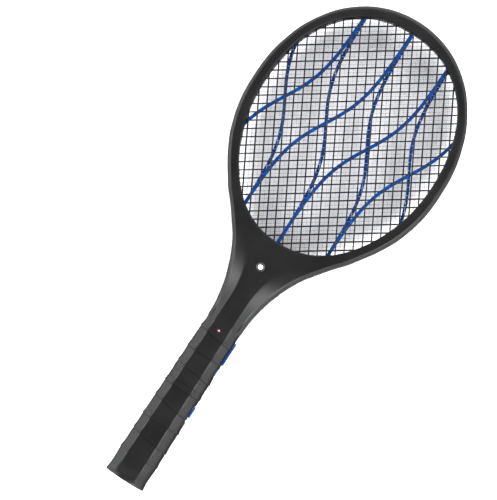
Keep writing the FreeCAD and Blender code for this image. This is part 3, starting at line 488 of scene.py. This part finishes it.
def rounded_octagon(w, d, f, s, e, radius=3.0, outer=15.0):
    """Half section (z >= 0) from (w, 0) over the front panel to (-w, 0): side face leaning
    in by e, bevel, panel, with the corners rounded."""
    corners = [(w, 0.0), (w - e, s), (f, d), (-f, d), (e - w, s), (-w, 0.0)]
    path = [corners[0]]
    for i in range(1, 5):
        a, c, b = Vector(corners[i - 1]), Vector(corners[i]), Vector(corners[i + 1])
        da, db = (a - c).normalized(), (b - c).normalized()
        ang = math.acos(max(-1, min(1, da.dot(db))))
        t = (outer if i in (1, 4) else radius) / math.tan(ang / 2)
        p, q = c + da * t, c + db * t
        for k in range(7):
            u = k / 6.0
            path.append(tuple((p * (1 - u) ** 2 + c * 2 * u * (1 - u) + q * u ** 2)))
    path.append(corners[5])
    return path


def resample(path, fractions):
    """Points at given fractions of the length of an open path."""
    ls = [0.0]
    for a, b in zip(path, path[1:]):
        ls.append(ls[-1] + math.hypot(b[0] - a[0], b[1] - a[1]))
    T = ls[-1]
    out = []
    j = 0
    for f in fractions:
        t = f * T
        while j < len(ls) - 2 and ls[j + 1] < t:
            j += 1
        u = (t - ls[j]) / max(1e-9, ls[j + 1] - ls[j])
        u = max(0.0, min(1.0, u))
        out.append((path[j][0] + (path[j + 1][0] - path[j][0]) * u, path[j][1] + (path[j + 1][1] - path[j][1]) * u))
    return out


# fractions round the half section, closer together at the four corners
def corner_fractions():
    w, d, f, s = 18.7, 17.0, 9.9, 8.2
    path = rounded_octagon(w, d, f, s, 2.0)
    ls = [0.0]
    for a, b in zip(path, path[1:]):
        ls.append(ls[-1] + math.hypot(b[0] - a[0], b[1] - a[1]))
    T = ls[-1]
    marks = []
    for i in range(len(path) - 1):
        L = ls[i + 1] - ls[i]
        n = max(1, int(round(L / 1.4))) if L > 1.2 else 1
        for k in range(n):
            marks.append((ls[i] + L * k / n) / T)
    marks.append(1.0)
    return marks


FR = corner_fractions()


def grip_ring(y, inset=0.0, fractions=None):
    """Half section of the grip at a station, seam to seam over the front, leaned."""
    fr = fractions or FR
    w, d, f, s = grip(y)
    flare = 0.0 if y >= 18 else (18 - max(y, 3.0)) / 15.0
    d += (w - 0.4 - d) * flare * flare * (3 - 2 * flare)
    w, d = w - inset, d - inset
    f, s = f - inset * 0.42, s - inset * 0.42
    pts = resample(rounded_octagon(w, d, f, s, draft(y)), fr)
    blend = 0.0 if y >= 6.5 else min(1.0, (6.5 - y) / 5.5)
    blend = blend * blend * (3 - 2 * blend)
    if blend > 0:
        out = []
        for (x, z), t in zip(pts, fr):
            a = math.pi * t
            out.append((x + (w * math.cos(a) - x) * blend, z + (d * math.sin(a) - z) * blend))
        pts = out
    k = math.tan(math.atan(interp(LEAN, y) / 19.5))
    return [(x, y - x * k, max(0.0, z)) for x, z in pts]


def ridge_rows(a, b, step):
    """Stations between a and b, closer together beside the ridges."""
    marks = [a] + [r for r in RIDGES if a + 0.5 < r < b - 0.5] + [b]
    rows = []
    for p, q in zip(marks, marks[1:]):
        n = max(2, int(round((q - p) / step)))
        seg = []
        for i in range(n):
            u = i / n
            seg.append(p + (q - p) * u)
        rows += seg
        if p in RIDGES:
            rows += [p + 0.25, p + 0.7]
        if q in RIDGES:
            rows += [q - 0.7, q - 0.25]
    rows.append(b)
    return sorted(set(round(r, 4) for r in rows))


def strips(rows_of_points):
    """Quads between successive rows that have the same number of points."""
    verts, faces = [], []
    n = len(rows_of_points[0])
    for r in rows_of_points:
        verts += r
    for j in range(len(rows_of_points) - 1):
        for i in range(n - 1):
            a = j * n + i
            faces.append((a, a + 1, a + n + 1, a + n))
    return verts, faces


# soften the ridge lines a touch by averaging the scallop over half a millimetre
_sag_raw = sag


def sag(y):
    base = (_sag_raw(y - 0.22) + _sag_raw(y) + _sag_raw(y + 0.22)) / 3.0
    # each cuff of the grip ends in a small lip that overhangs the one below it
    for r in RIDGES[1:-1]:
        if 106.0 < y < 119.5:
            continue
        if r - 6.0 < y < r + 0.25:
            k = min(1.0, (r + 0.25 - y) / 0.5)
            base += 0.8 * k * math.exp(-max(0.0, r - 0.25 - y) / 2.6)
    return base


# ---------------------------------------------------------------- torch shells
def thicken(ob, thickness):
    m = ob.modifiers.new("wall", "SOLIDIFY")
    m.thickness = thickness / 1000.0
    m.offset = -1.0
    m.use_even_offset = False
    m.use_quality_normals = True
    apply_modifiers(ob)


def mirror_z(verts):
    return [Vector((v.x, v.y, 2 * ZC / 1000.0 - v.z)) for v in verts]


def torch_surface():
    rows = []
    ys = [0.62, 0.9, 1.4, 2.0, 2.7, 3.4, 4.1, 4.8, 5.5, 6.2, 7.0, 8.0, 9.2, 10.8, 12.4, 14, 15.6, 17.2, 18.8, 20.2, 21.6, 22.8, 23.8] + ridge_rows(24.8, 106.2, 1.5)
    for y in ys:
        rows.append([P(*p) for p in grip_ring(y)])

    def flat_ring(y, inset, shrink=None):
        w, d, f, s = grip(y)
        w, d = w - inset, d - inset
        pts = resample(rounded_octagon(w, d, f, s, draft(y)), FR)
        return [(x, y, max(0.0, z)) for x, z in pts]
    for y, i in ((106.7, 0.0), (106.98, 0.03), (107.1, 0.26), (107.2, 0.34), (107.5, 0.34), (107.6, 0.26), (107.72, 0.03), (108.0, 0.0),
                 (110.0, 0.0), (112.0, 0.0), (114.0, 0.0), (115.0, 0.0), (115.2, 0.04), (115.32, 0.12), (115.38, 0.22), (115.4, 0.34)):
        rows.append([P(*p) for p in flat_ring(y, i)])
    last = flat_ring(115.4, 0.34)
    for u in (0.25, 0.5, 0.75, 1.0):
        ring = []
        for (x, y, z), t in zip(last, FR):
            a = math.pi * t
            cx, cz = 4.1 * math.cos(a), 4.1 * math.sin(a)
            ring.append(P(x + (cx - x) * u, 115.4, max(0.0, z + (cz - z) * u)))
        rows.append(ring)
    return strips(rows)


def shell_pair(front_name, rear_name, surface, wall, body, front_node, rear_node, front_cut, rear_cut, angle=34):
    verts, faces = surface()
    out = []
    for name, flip, node, cutters in ((front_name, False, front_node, front_cut), (rear_name, True, rear_node, rear_cut)):
        vs = mirror_z(verts) if flip else verts
        fs = faces if flip else [f[::-1] for f in faces]
        ob = make_mesh(name, vs, fs)
        weld(ob)
        # the outside is the side that faces away from the seam plane
        me = ob.data
        s = 0.0
        for p in me.polygons:
            c = p.center
            s += p.area * (p.normal.z * (1 if c.z > ZC / 1000.0 else -1))
        if s < 0:
            me.flip_normals()
        thicken(ob, wall)
        cut_with(ob, cutters())
        autosmooth(ob, angle)
        give(ob, M["black"])
        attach(ob, body)
        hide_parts(node)
        out.append(ob)
    return out


TS = [(13.4, 36.0), (-13.4, 36.0), (-13.4, 101.5), (13.4, 103.0)]


def torch_front_cutters():
    return [racetrack_cutter("c1", 19.1, 11.1, 85.2, 10, 24)]


def torch_rear_cutters():
    return [racetrack_cutter("c1", 19.1, 11.1, 85.2, 10, 24)] + [cylinder("c2", 2.05, P(x, y, -28), P(x, y, -8.2)) for x, y in TS]


shell_pair("torch_shell_front", "torch_shell_rear", torch_surface, WALL, "torch", "torch_front_shell", "torch_rear_shell",
           torch_front_cutters, torch_rear_cutters)

# ---------------------------------------------------------------- racket shells
throat_w = smooth_table(THROAT + [(269, 53.3), (277, 59.7), (285, 66.7)])
panel_w = smooth_table(PANEL)
front_d = smooth_table(FRONT)


def periodic_curve(points, n):
    """Closed Catmull-Rom curve through the points, with n samples."""
    m = len(points)
    out = []
    for k in range(n):
        t = k * m / n
        i = int(t)
        u = t - i
        p0, p1, p2, p3 = (Vector(points[(i + j - 1) % m]) for j in range(4))
        out.append(0.5 * ((2 * p1) + (-p0 + p2) * u + (2 * p0 - 5 * p1 + 4 * p2 - p3) * u * u + (-p0 + 3 * p1 - 3 * p2 + p3) * u ** 3))
    return out


HOLE = [(x, y) for y, x in INNER] + [(-x, y) for y, x in INNER[-2:0:-1]]
HOLE_FINE = periodic_curve(HOLE, 1600)
OUT_PTS = [(x, y) for y, x in OUTER] + [(-x, y) for y, x in OUTER[-2::-1]]


def open_curve(points, per):
    out = []
    m = len(points)
    for i in range(m - 1):
        p1, p2 = Vector(points[i]), Vector(points[i + 1])
        p0 = Vector(points[i - 1]) if i > 0 else 2 * p1 - p2
        p3 = Vector(points[i + 2]) if i < m - 2 else 2 * p2 - p1
        # centripetal-style tangents scaled by chord length, to suit the uneven spacing
        def tan(a, b, c):
            da, db = (b - a).length, (c - b).length
            return ((b - a) / max(da, 1e-9) * db + (c - b) / max(db, 1e-9) * da) / (da + db)
        L = (p2 - p1).length
        m1, m2 = tan(p0, p1, p2) * L, tan(p1, p2, p3) * L
        for k in range(per):
            u = k / per
            out.append(p1 * (2 * u ** 3 - 3 * u ** 2 + 1) + m1 * (u ** 3 - 2 * u ** 2 + u) + p2 * (-2 * u ** 3 + 3 * u ** 2) + m2 * (u ** 3 - u ** 2))
    out.append(Vector(points[-1]))
    return out


OUT_FINE = open_curve(OUT_PTS, 24)
CEN = Vector((0.0, 388.0))


def ray_hit(curve, ang, closed):
    """Distance from the centre of the head to a curve along a ray."""
    d = Vector((math.cos(ang), math.sin(ang)))
    best = None
    n = len(curve)
    for i in range(n if closed else n - 1):
        a, b = curve[i] - CEN, curve[(i + 1) % n] - CEN
        ca = d.x * a.y - d.y * a.x
        cb = d.x * b.y - d.y * b.x
        if (ca <= 0 < cb) or (cb <= 0 < ca):
            u = ca / (ca - cb)
            h = a + (b - a) * u
            r = h.dot(d)
            if r > 0 and (best is None or r > best):
                best = r
    return best


def hit_fast(table, ang):
    """Same, from a table of angle against distance."""
    a = ang % (2 * math.pi)
    lo, hi = 0, len(table) - 1
    if a <= table[0][0] or a >= table[-1][0]:
        (a0, r0), (a1, r1) = table[-1], table[0]
        span = (a1 - a0) % (2 * math.pi)
        u = ((a - a0) % (2 * math.pi)) / max(span, 1e-9)
        return r0 + (r1 - r0) * u
    while hi - lo > 1:
        mid = (lo + hi) // 2
        if table[mid][0] <= a:
            lo = mid
        else:
            hi = mid
    (a0, r0), (a1, r1) = table[lo], table[hi]
    return r0 + (r1 - r0) * (a - a0) / max(a1 - a0, 1e-9)


def polar(curve):
    return sorted(((math.atan2((p - CEN).y, (p - CEN).x) % (2 * math.pi), (p - CEN).length) for p in curve))


HOLE_POLAR = polar(HOLE_FINE)
OUT_POLAR = polar(OUT_FINE)
Y_CUT = 258.0


def smin(a, b, k):
    t = max(0.0, min(1.0, 0.5 + 0.5 * (b - a) / k))
    return b * (1 - t) + a * t - k * t * (1 - t)


def edge_distance(x, y):
    """Distance in from the outline, near it."""
    low = None
    if y < 270:
        k = (throat_w(y + 1) - throat_w(y - 1)) / 2.0
        low = (throat_w(y) - abs(x)) / math.sqrt(1 + k * k)
        if y <= 258:
            return low
    v = Vector((x, y)) - CEN
    a = math.atan2(v.y, v.x)
    r = hit_fast(OUT_POLAR, a)
    da = 0.01
    k = (hit_fast(OUT_POLAR, a + da) - hit_fast(OUT_POLAR, a - da)) / (2 * da * max(r, 1.0))
    far = (r - v.length) / math.sqrt(1 + k * k)
    if low is None:
        return far
    t = (y - 258) / 12.0
    return low * (1 - t) + far * t


def top_height(x, y):
    """Height of the outside above the seam for the throat and the head."""
    delta = max(0.0, edge_distance(x, y))
    bevel = BEV + delta / 0.83
    if y < 203:
        u = max(0.0, (y - 173.0) / 30.0)
        bevel += 1.2 * (1 - u)
    # centre panel and side panels of the throat
    if y < 300:
        p, d = panel_w(y), front_d(y)
        w = throat_w(min(y, 269.0))
        q = max(p + 2.0, w - 3.4)
        slope = (d - RIM) / max(1.0, q - p)
        if abs(x) > p:
            side = d - (abs(x) - p) * slope
        else:
            side = d + (p - abs(x)) * slope
        panel = smin(d, side, 0.35 + 0.5 * max(0.0, min(1.0, (y - 205) / 40.0)))
        panel = max(panel, RIM)
        if y < 203:
            u = max(0.0, (y - 173.0) / 30.0)
            panel = d * (1 - u) + panel * u if abs(x) <= p else max(panel, d - (abs(x) - p) * 1.2 * 0.98)
    else:
        panel = RIM
    return smin(panel, bevel, 1.0)


def wall_profile(top):
    """Heights up the outer side wall, from the seam to its top."""
    return [0.0, 0.16, 0.17 * 2, top * 0.3, top * 0.55, top * 0.8, top]


NB = 64           # columns across the throat, edge to edge
SIDE = 7          # points of each side wall


def throat_columns():
    """Fractions of the half width, closer together at the edges and panel ridges."""
    us = []
    for i in range(NB + 1):
        us.append(-1 + 2 * i / NB)
    extra = [0.985, 0.955, 0.925, 0.90, 0.42, 0.46, 0.485, 0.515, 0.54, 0.58]
    us += extra + [-e for e in extra]
    return sorted(set(round(u, 5) for u in us))


US = throat_columns()


def throat_row(y):
    """One row across the throat, seam to seam, with a fine parting groove at the seam."""
    w = throat_w(y)
    etop = top_height(w, y)
    row = []
    for z in wall_profile(etop)[:-1]:
        row.append((w - (0.14 if z == 0.0 else 0.0), y, z))
    for u in US[::-1]:
        row.append((u * w, y, top_height(u * w, y)))
    for z in wall_profile(etop)[:-1][::-1]:
        row.append((-w + (0.14 if z == 0.0 else 0.0), y, z))
    return row


def row_fractions(row):
    ls = [0.0]
    for a, b in zip(row, row[1:]):
        ls.append(ls[-1] + math.hypot(b[0] - a[0], b[2] - a[2]))
    return [v / ls[-1] for v in ls]


def racket_surface():
    ys = [176.0 + i * (Y_CUT - 176.0) / 42.0 for i in range(43)]
    first_throat = throat_row(ys[0])
    fr = row_fractions(first_throat)
    rows = []
    start = 115.7

    def flat_ring(y, inset):
        w, d, f, s = grip(y)
        pts = resample(rounded_octagon(w - inset, d - inset, f, s, draft(y)), fr)
        return [(x, y, max(0.0, z)) for x, z in pts]
    end = flat_ring(start, 0.34)
    for u in (1.0, 0.75, 0.5, 0.25, 0.0):
        ring = []
        for (x, y, z), t in zip(end, fr):
            a = math.pi * t
            cx, cz = 3.1 * math.cos(a), 3.1 * math.sin(a)
            ring.append(P(x + (cx - x) * u, 115.47, max(0.0, z + (cz - z) * u)))
        rows.append(ring)
    for y, i in ((115.7, 0.34), (115.72, 0.22), (115.78, 0.12), (115.9, 0.04), (116.1, 0.0), (116.8, 0.0)):
        rows.append([P(*p) for p in flat_ring(y, i)])
    for y in ridge_rows(118.2, 171.0, 1.5):
        rows.append([P(*p) for p in grip_ring(y, 0.0, fr)])
    # three rows that run from the grip section into the throat section
    g_end = grip_ring(172.6, 0.0, fr)
    for t in (0.0, 0.35, 0.7):
        t2 = t * t * (3 - 2 * t)
        rows.append([P(a[0] + (b[0] - a[0]) * t2, a[1] + (b[1] - a[1]) * t, a[2] + (b[2] - a[2]) * t2)
                     for a, b in zip(g_end, first_throat)])
    for y in ys:
        rows.append([P(*p) for p in throat_row(y)])
    gverts, gfaces = strips(rows)

    corner = throat_w(Y_CUT)
    a_right = math.atan2(Y_CUT - CEN.y, corner)
    a_left = math.atan2(Y_CUT - CEN.y, -corner)
    n_ring = 240
    sweep = (a_left - a_right) % (2 * math.pi)
    NR = 16

    def inner_edge(a, level=RIM):
        r = hit_fast(HOLE_POLAR, a)
        d = Vector((math.cos(a), math.sin(a)))
        pts = []
        for off, z in ((0.0, 5.7), (0.0, 7.4), (0.0, level - 1.5), (0.10, level - 0.95), (0.35, level - 0.47),
                       (0.75, level - 0.16), (1.25, level - 0.03), (1.8, level)):
            p = CEN + d * (r + off)
            pts.append((p.x, p.y, z))
        return pts, r, d

    def crossing(a, end_point):
        """From the opening's edge out to a point on the same ray."""
        r = hit_fast(HOLE_POLAR, a)
        d = Vector((math.cos(a), math.sin(a)))
        first = CEN + d * (r + 1.8)
        pts, r, d = inner_edge(a, max(RIM, top_height(first.x, first.y)))
        for k in range(1, NR + 1):
            t = 1 - (1 - k / NR) ** 1.7
            p = first + (end_point - first) * t
            pts.append((p.x, p.y, top_height(p.x, p.y)))
        return pts

    ring_rows = []
    for i in range(n_ring + 1):
        a = a_right + sweep * i / n_ring
        d = Vector((math.cos(a), math.sin(a)))
        if i == 0:
            end_point, back = Vector((corner, Y_CUT)), Vector((corner - 0.14, Y_CUT))
        elif i == n_ring:
            end_point, back = Vector((-corner, Y_CUT)), Vector((-corner + 0.14, Y_CUT))
        else:
            ro = hit_fast(OUT_POLAR, a)
            end_point, back = CEN + d * ro, CEN + d * (ro - 0.14)
        pts = crossing(a, end_point)
        etop = pts[-1][2]
        for z in wall_profile(etop)[:-1][::-1]:
            q = back if z == 0.0 else end_point
            pts.append((q.x, q.y, z))
        ring_rows.append([P(*q) for q in pts])
    rverts, rfaces = strips(ring_rows)
    bot = []
    for u in US[::-1]:
        x = u * corner
        bot.append([P(*q) for q in crossing(math.atan2(Y_CUT - CEN.y, x), Vector((x, Y_CUT)))])
    bverts, bfaces = strips(bot)
    verts, faces = [], []
    for vs, fs in ((gverts, gfaces), (rverts, rfaces), (bverts, bfaces)):
        o = len(verts)
        verts += vs
        faces += [tuple(i + o for i in f) for f in fs]
    return verts, faces


def slide_rails():
    """Raised rails of the slide switch base, one each side of the knob's path."""
    for name, side in (("power_slide_rail_front", 1), ("power_slide_rail_rear", -1)):
        za, zb = side * 3.45, side * 4.0
        verts = [P(x, y, z) for z in (za, zb) for x, y in ((16.6, 140.4), (16.6, 161.4), (19.9, 160.2), (19.9, 141.4))]
        faces = [(0, 1, 2, 3), (7, 6, 5, 4), (0, 4, 5, 1), (1, 5, 6, 2), (2, 6, 7, 3), (3, 7, 4, 0)]
        ob = make_mesh(name, verts, faces, smooth=False)
        bm = bmesh.new()
        bm.from_mesh(ob.data)
        bmesh.ops.recalc_face_normals(bm, faces=bm.faces)
        bm.to_mesh(ob.data)
        bm.free()
        m = ob.modifiers.new("round", "BEVEL")
        m.width = 0.0002
        m.segments = 3
        apply_modifiers(ob)
        give(ob, M["dark_blue"])
        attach(ob, "racket")


slide_rails()

RING_SCREWS = []
for y0 in (302, 360, 425, 480):
    for side in (1, -1):
        best = None
        for k, (x, y) in enumerate(HOLE):
            p = Vector(HOLE[(k + 1) % len(HOLE)]) - Vector(HOLE[(k - 1) % len(HOLE)])
            nrm = Vector((p.y, -p.x)).normalized()
            q = Vector((x, y)) + nrm * 6.1
            if q.x * side > 0 and (best is None or abs(q.y - y0) < abs(best.y - y0)):
                best = q
        RING_SCREWS.append((best.x, best.y))
LOW_SCREWS = [(27.0, 256.0), (-27.0, 256.0)]
DEEP_SCREWS = [(12.3, 181.0), (-12.3, 181.0), (-12.3, 124.0)]

lean_led = math.atan((interp(FRONT_CAD, 236) - interp(FRONT_CAD, 243)) / 7.0)


def side_cutters():
    return [racetrack_cutter("c_slide", 26.7, 8.1, 152.2, 10, 24), cylinder("c_button", 4.6, P(10, 131.5, 0), P(24, 131.5, 0))]


def racket_front_cutters():
    z = interp(FRONT_CAD, 239.5)
    ax = Vector((0, math.sin(lean_led), math.cos(lean_led)))
    c = P(0, 239.5, z)
    return side_cutters() + [cylinder("c_led", 4.32, c - ax * 0.006, c + ax * 0.006), cylinder("c_lamp", 1.55, P(0, 167.5, 10), P(0, 167.5, 24), 32)]


def racket_rear_cutters():
    return side_cutters() + [cylinder("c_screw", 2.05, P(x, y, -24), P(x, y, -8.0), 32) for x, y in RING_SCREWS + LOW_SCREWS + DEEP_SCREWS]


shell_pair("racket_shell_front", "racket_shell_rear", racket_surface, 1.8, "racket", "racket_front_shell", "racket_rear_shell",
           racket_front_cutters, racket_rear_cutters)

# ---------------------------------------------------------------- wavy ribs
def rib_path(x0, sign):
    pts = []
    y = 258.0
    while y <= 512:
        s = 23.5 * (1 + math.tanh((388.5 - y) / 42.0))
        pts.append(Vector((sign * (x0 - s), y)))
        y += 2.0
    keep = []
    for p in pts:
        v = p - CEN
        if v.length <= hit_fast(HOLE_POLAR, math.atan2(v.y, v.x)) + 2.1:
            keep.append(p)
    return keep


def ribs_object(name, sign, z0, node):
    prof = []
    w, h, r = 1.6, 3.3, 0.5
    for cx, cz, a0 in ((w - r, h - r, 0), (-w + r, h - r, 90), (-w + r, r, 180), (w - r, r, 270)):
        for k in range(5):
            t = math.radians(a0 + 22.5 * k)
            prof.append((cx + r * math.cos(t), cz + r * math.sin(t)))
    n = len(prof)
    verts, faces = [], []
    for x0 in (-47.0, 0.0, 46.75, 93.5):
        path = rib_path(x0, sign)
        if len(path) < 4:
            continue
        base = len(verts)
        for i, p in enumerate(path):
            a, b = path[max(0, i - 1)], path[min(len(path) - 1, i + 1)]
            t = (b - a).normalized()
            nrm = Vector((t.y, -t.x))
            for u, z in prof:
                q = p + nrm * u
                verts.append(P(q.x, q.y, z0 + z))
        m = len(path)
        for i in range(m - 1):
            for k in range(n):
                k2 = (k + 1) % n
                faces.append((base + i * n + k, base + i * n + k2, base + (i + 1) * n + k2, base + (i + 1) * n + k))
        faces.append(tuple(base + k for k in range(n))[::-1])
        faces.append(tuple(base + (m - 1) * n + k for k in range(n)))
    ob = make_mesh(name, verts, faces)
    bm = bmesh.new()
    bm.from_mesh(ob.data)
    bmesh.ops.recalc_face_normals(bm, faces=bm.faces)
    bm.to_mesh(ob.data)
    bm.free()
    autosmooth(ob, 50)
    give(ob, M["rib"])
    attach(ob, "racket")
    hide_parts(node)
    return ob


ribs_object("wavy_ribs_front", 1, 0.85, "front_wavy_ribs")
ribs_object("wavy_ribs_rear", -1, -0.85 - 3.3, "rear_wavy_ribs")

# ---------------------------------------------------------------- wire grids
DIR_A, DIR_B, PITCH_A, PITCH_B = 118.6, 34.0, 8.4, 7.9
GRID_C = Vector((0.0, 386.5))


def wire_grid(name, zc, ua, ub, node, material, radius=0.6, reach=2.6):
    """Welded mesh of round wires: one layer of parallel wires lies on the other."""
    verts, faces = [], []
    seg = 10
    poly = [p for p in HOLE_FINE]
    for direction, pitch, off, zo, salt in ((DIR_A, PITCH_A, ua, 0.5, 1), (DIR_B, PITCH_B, ub, -0.5, 2)):
        t = math.radians(direction)
        d = Vector((math.cos(t), math.sin(t)))
        nrm = Vector((math.sin(t), -math.cos(t)))
        if salt == 2:
            nrm = -nrm
        for i in range(-20, 21):
            c = GRID_C + nrm * ((i + off) * pitch)
            hits = []
            for k in range(len(poly)):
                a, b = poly[k] - c, poly[(k + 1) % len(poly)] - c
                ca, cb = d.cross(a), d.cross(b)
                if (ca <= 0 < cb) or (cb <= 0 < ca):
                    u = ca / (ca - cb)
                    hits.append((a + (b - a) * u).dot(d))
            if len(hits) < 2:
                continue
            lo, hi = min(hits), max(hits)
            if hi - lo < 5:
                continue
            # both ends stop inside the rim
            lo, hi = lo - reach, hi + reach
            m = max(6, int((hi - lo) / 7.0))
            base = len(verts)
            for j in range(m + 1):
                u = lo + (hi - lo) * j / m
                q = c + d * u
                wob = noise.noise(Vector((q.x * 0.05, q.y * 0.05, i * 3.1 + salt * 17.0))) * 0.13
                wob2 = noise.noise(Vector((q.x * 0.04 + 9, q.y * 0.04, i * 1.7 + salt * 5.0))) * 0.06
                q = q + nrm * wob
                for s_ in range(seg):
                    a = 2 * math.pi * s_ / seg
                    verts.append(P(q.x + nrm.x * radius * math.cos(a), q.y + nrm.y * radius * math.cos(a),
                                   zc + zo * radius * 1.72 + wob2 * 0.5 + radius * math.sin(a)))
            for j in range(m):
                for s_ in range(seg):
                    s2 = (s_ + 1) % seg
                    faces.append((base + j * seg + s_, base + j * seg + s2, base + (j + 1) * seg + s2, base + (j + 1) * seg + s_))
            faces.append(tuple(base + s_ for s_ in range(seg))[::-1])
            faces.append(tuple(base + m * seg + s_ for s_ in range(seg)))
    ob = make_mesh(name, verts, faces)
    bm = bmesh.new()
    bm.from_mesh(ob.data)
    bmesh.ops.recalc_face_normals(bm, faces=bm.faces)
    bm.to_mesh(ob.data)
    bm.free()
    autosmooth(ob, 60)
    give(ob, M[material])
    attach(ob, "racket")
    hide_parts(node)
    return ob


wire_grid("wire_mesh_front", 5.0, -0.15, 0.42, "front_safety_mesh", "wire", radius=0.66)
wire_grid("wire_mesh_centre", 0.0, 0.35, 0.92, "centre_high_voltage_grid", "bright_wire", radius=0.19)
wire_grid("wire_mesh_rear", -5.0, -0.189, 0.538, "rear_safety_mesh", "wire", radius=0.6)

# ---------------------------------------------------------------- floor, light, camera
def stage_material():
    mat, N, L, bs, co = base_material("studio_floor")
    n = noise_node(N, L, co, 1.4, 3.0)
    c = ramp(N, L, n.outputs["Fac"], [(0.3, (0.965, 0.965, 0.97, 1)), (0.7, (0.985, 0.985, 0.99, 1))])
    L.new(c.outputs["Color"], bs.inputs["Base Color"])
    bs.inputs["Roughness"].default_value = 0.8
    bs.inputs["Emission Color"].default_value = (1.0, 1.0, 1.0, 1)
    bs.inputs["Emission Strength"].default_value = 0.12
    return mat


S = 6.0
floor = make_mesh("studio_floor", [(-S, -S, -0.0004), (S, -S, -0.0004), (S, S, -0.0004), (-S, S, -0.0004)], [(0, 1, 2, 3)], smooth=False)
give(floor, stage_material())

world = bpy.data.worlds.new("studio")
scene.world = world
world.use_nodes = True
WN, WL = world.node_tree.nodes, world.node_tree.links
bg = WN["Background"]
tc = WN.new("ShaderNodeTexCoord")
sep = WN.new("ShaderNodeSeparateXYZ")
WL.new(tc.outputs["Generated"], sep.inputs["Vector"])
wr = ramp(WN, WL, sep.outputs["Z"], [(0.0, (0.95, 0.97, 1.0, 1)), (0.45, (0.75, 0.77, 0.8, 1)), (0.85, (0.22, 0.225, 0.235, 1)), (1.0, (0.13, 0.13, 0.14, 1))])
WL.new(wr.outputs["Color"], bg.inputs["Color"])
bg.inputs["Strength"].default_value = 0.84

yaw = math.radians(4.5)
pitch = math.radians(1)
right = Vector((0.839, 0.545, 0.0)).normalized()
up0 = Vector((-0.545, 0.839, 0.0)).normalized()
target = P(-19.55, 247.15, 0.0)
view_dir = Vector((math.sin(yaw), -math.sin(pitch), math.cos(yaw))).normalized()     # from the target towards the camera
cam_pos = target + view_dir * 3
z_axis = view_dir
y_axis = (up0 - z_axis * up0.dot(z_axis)).normalized()
x_axis = y_axis.cross(z_axis).normalized()
cam_data = bpy.data.cameras.new("camera")
cam = bpy.data.objects.new("camera", cam_data)
scene.collection.objects.link(cam)
mw = Matrix((x_axis, y_axis, z_axis)).transposed().to_4x4()
mw.translation = cam_pos
cam.matrix_world = mw
cam_data.sensor_width = 36.0
cam_data.lens = 226.7
cam_data.clip_end = 50
scene.camera = cam
scene.view_settings.view_transform = "Standard"


def area(name, pos, aim, size, power, colour=(1, 1, 1), size_y=None):
    ld = bpy.data.lights.new(name, "AREA")
    ld.energy = power
    ld.color = colour
    ld.size = size
    if size_y:
        ld.shape = "RECTANGLE"
        ld.size_y = size_y
    ob = bpy.data.objects.new(name, ld)
    scene.collection.objects.link(ob)
    ob.location = pos
    ob.rotation_euler = (Vector(aim) - Vector(pos)).to_track_quat("-Z", "Y").to_euler()
    return ob


mid = (0.0, 0.0, 0.02)
area("left_bank", (-1.5, -0.35, 0.95), (0.0, -0.1, 0.02), 1.3, 39.0, size_y=1.3)
area("left_strip", (-1.5, -0.42, 0.95), (0.0, -0.2, 0.02), 1.1, 25.0, size_y=0.4)
area("right_bank", (1.5, -0.40, 0.95), (0.0, -0.1, 0.02), 1.3, 42.0, size_y=1.3)
area("right_strip", (1.5, -0.42, 0.95), (0.0, -0.2, 0.02), 1.1, 36.0, size_y=0.4)
area("head_bank", (0.0, 1.6, 1.1), mid, 1.6, 42.0, size_y=0.9)
area("foot_bank", (0.0, -1.6, 1.1), mid, 1.6, 7.0, size_y=0.9)
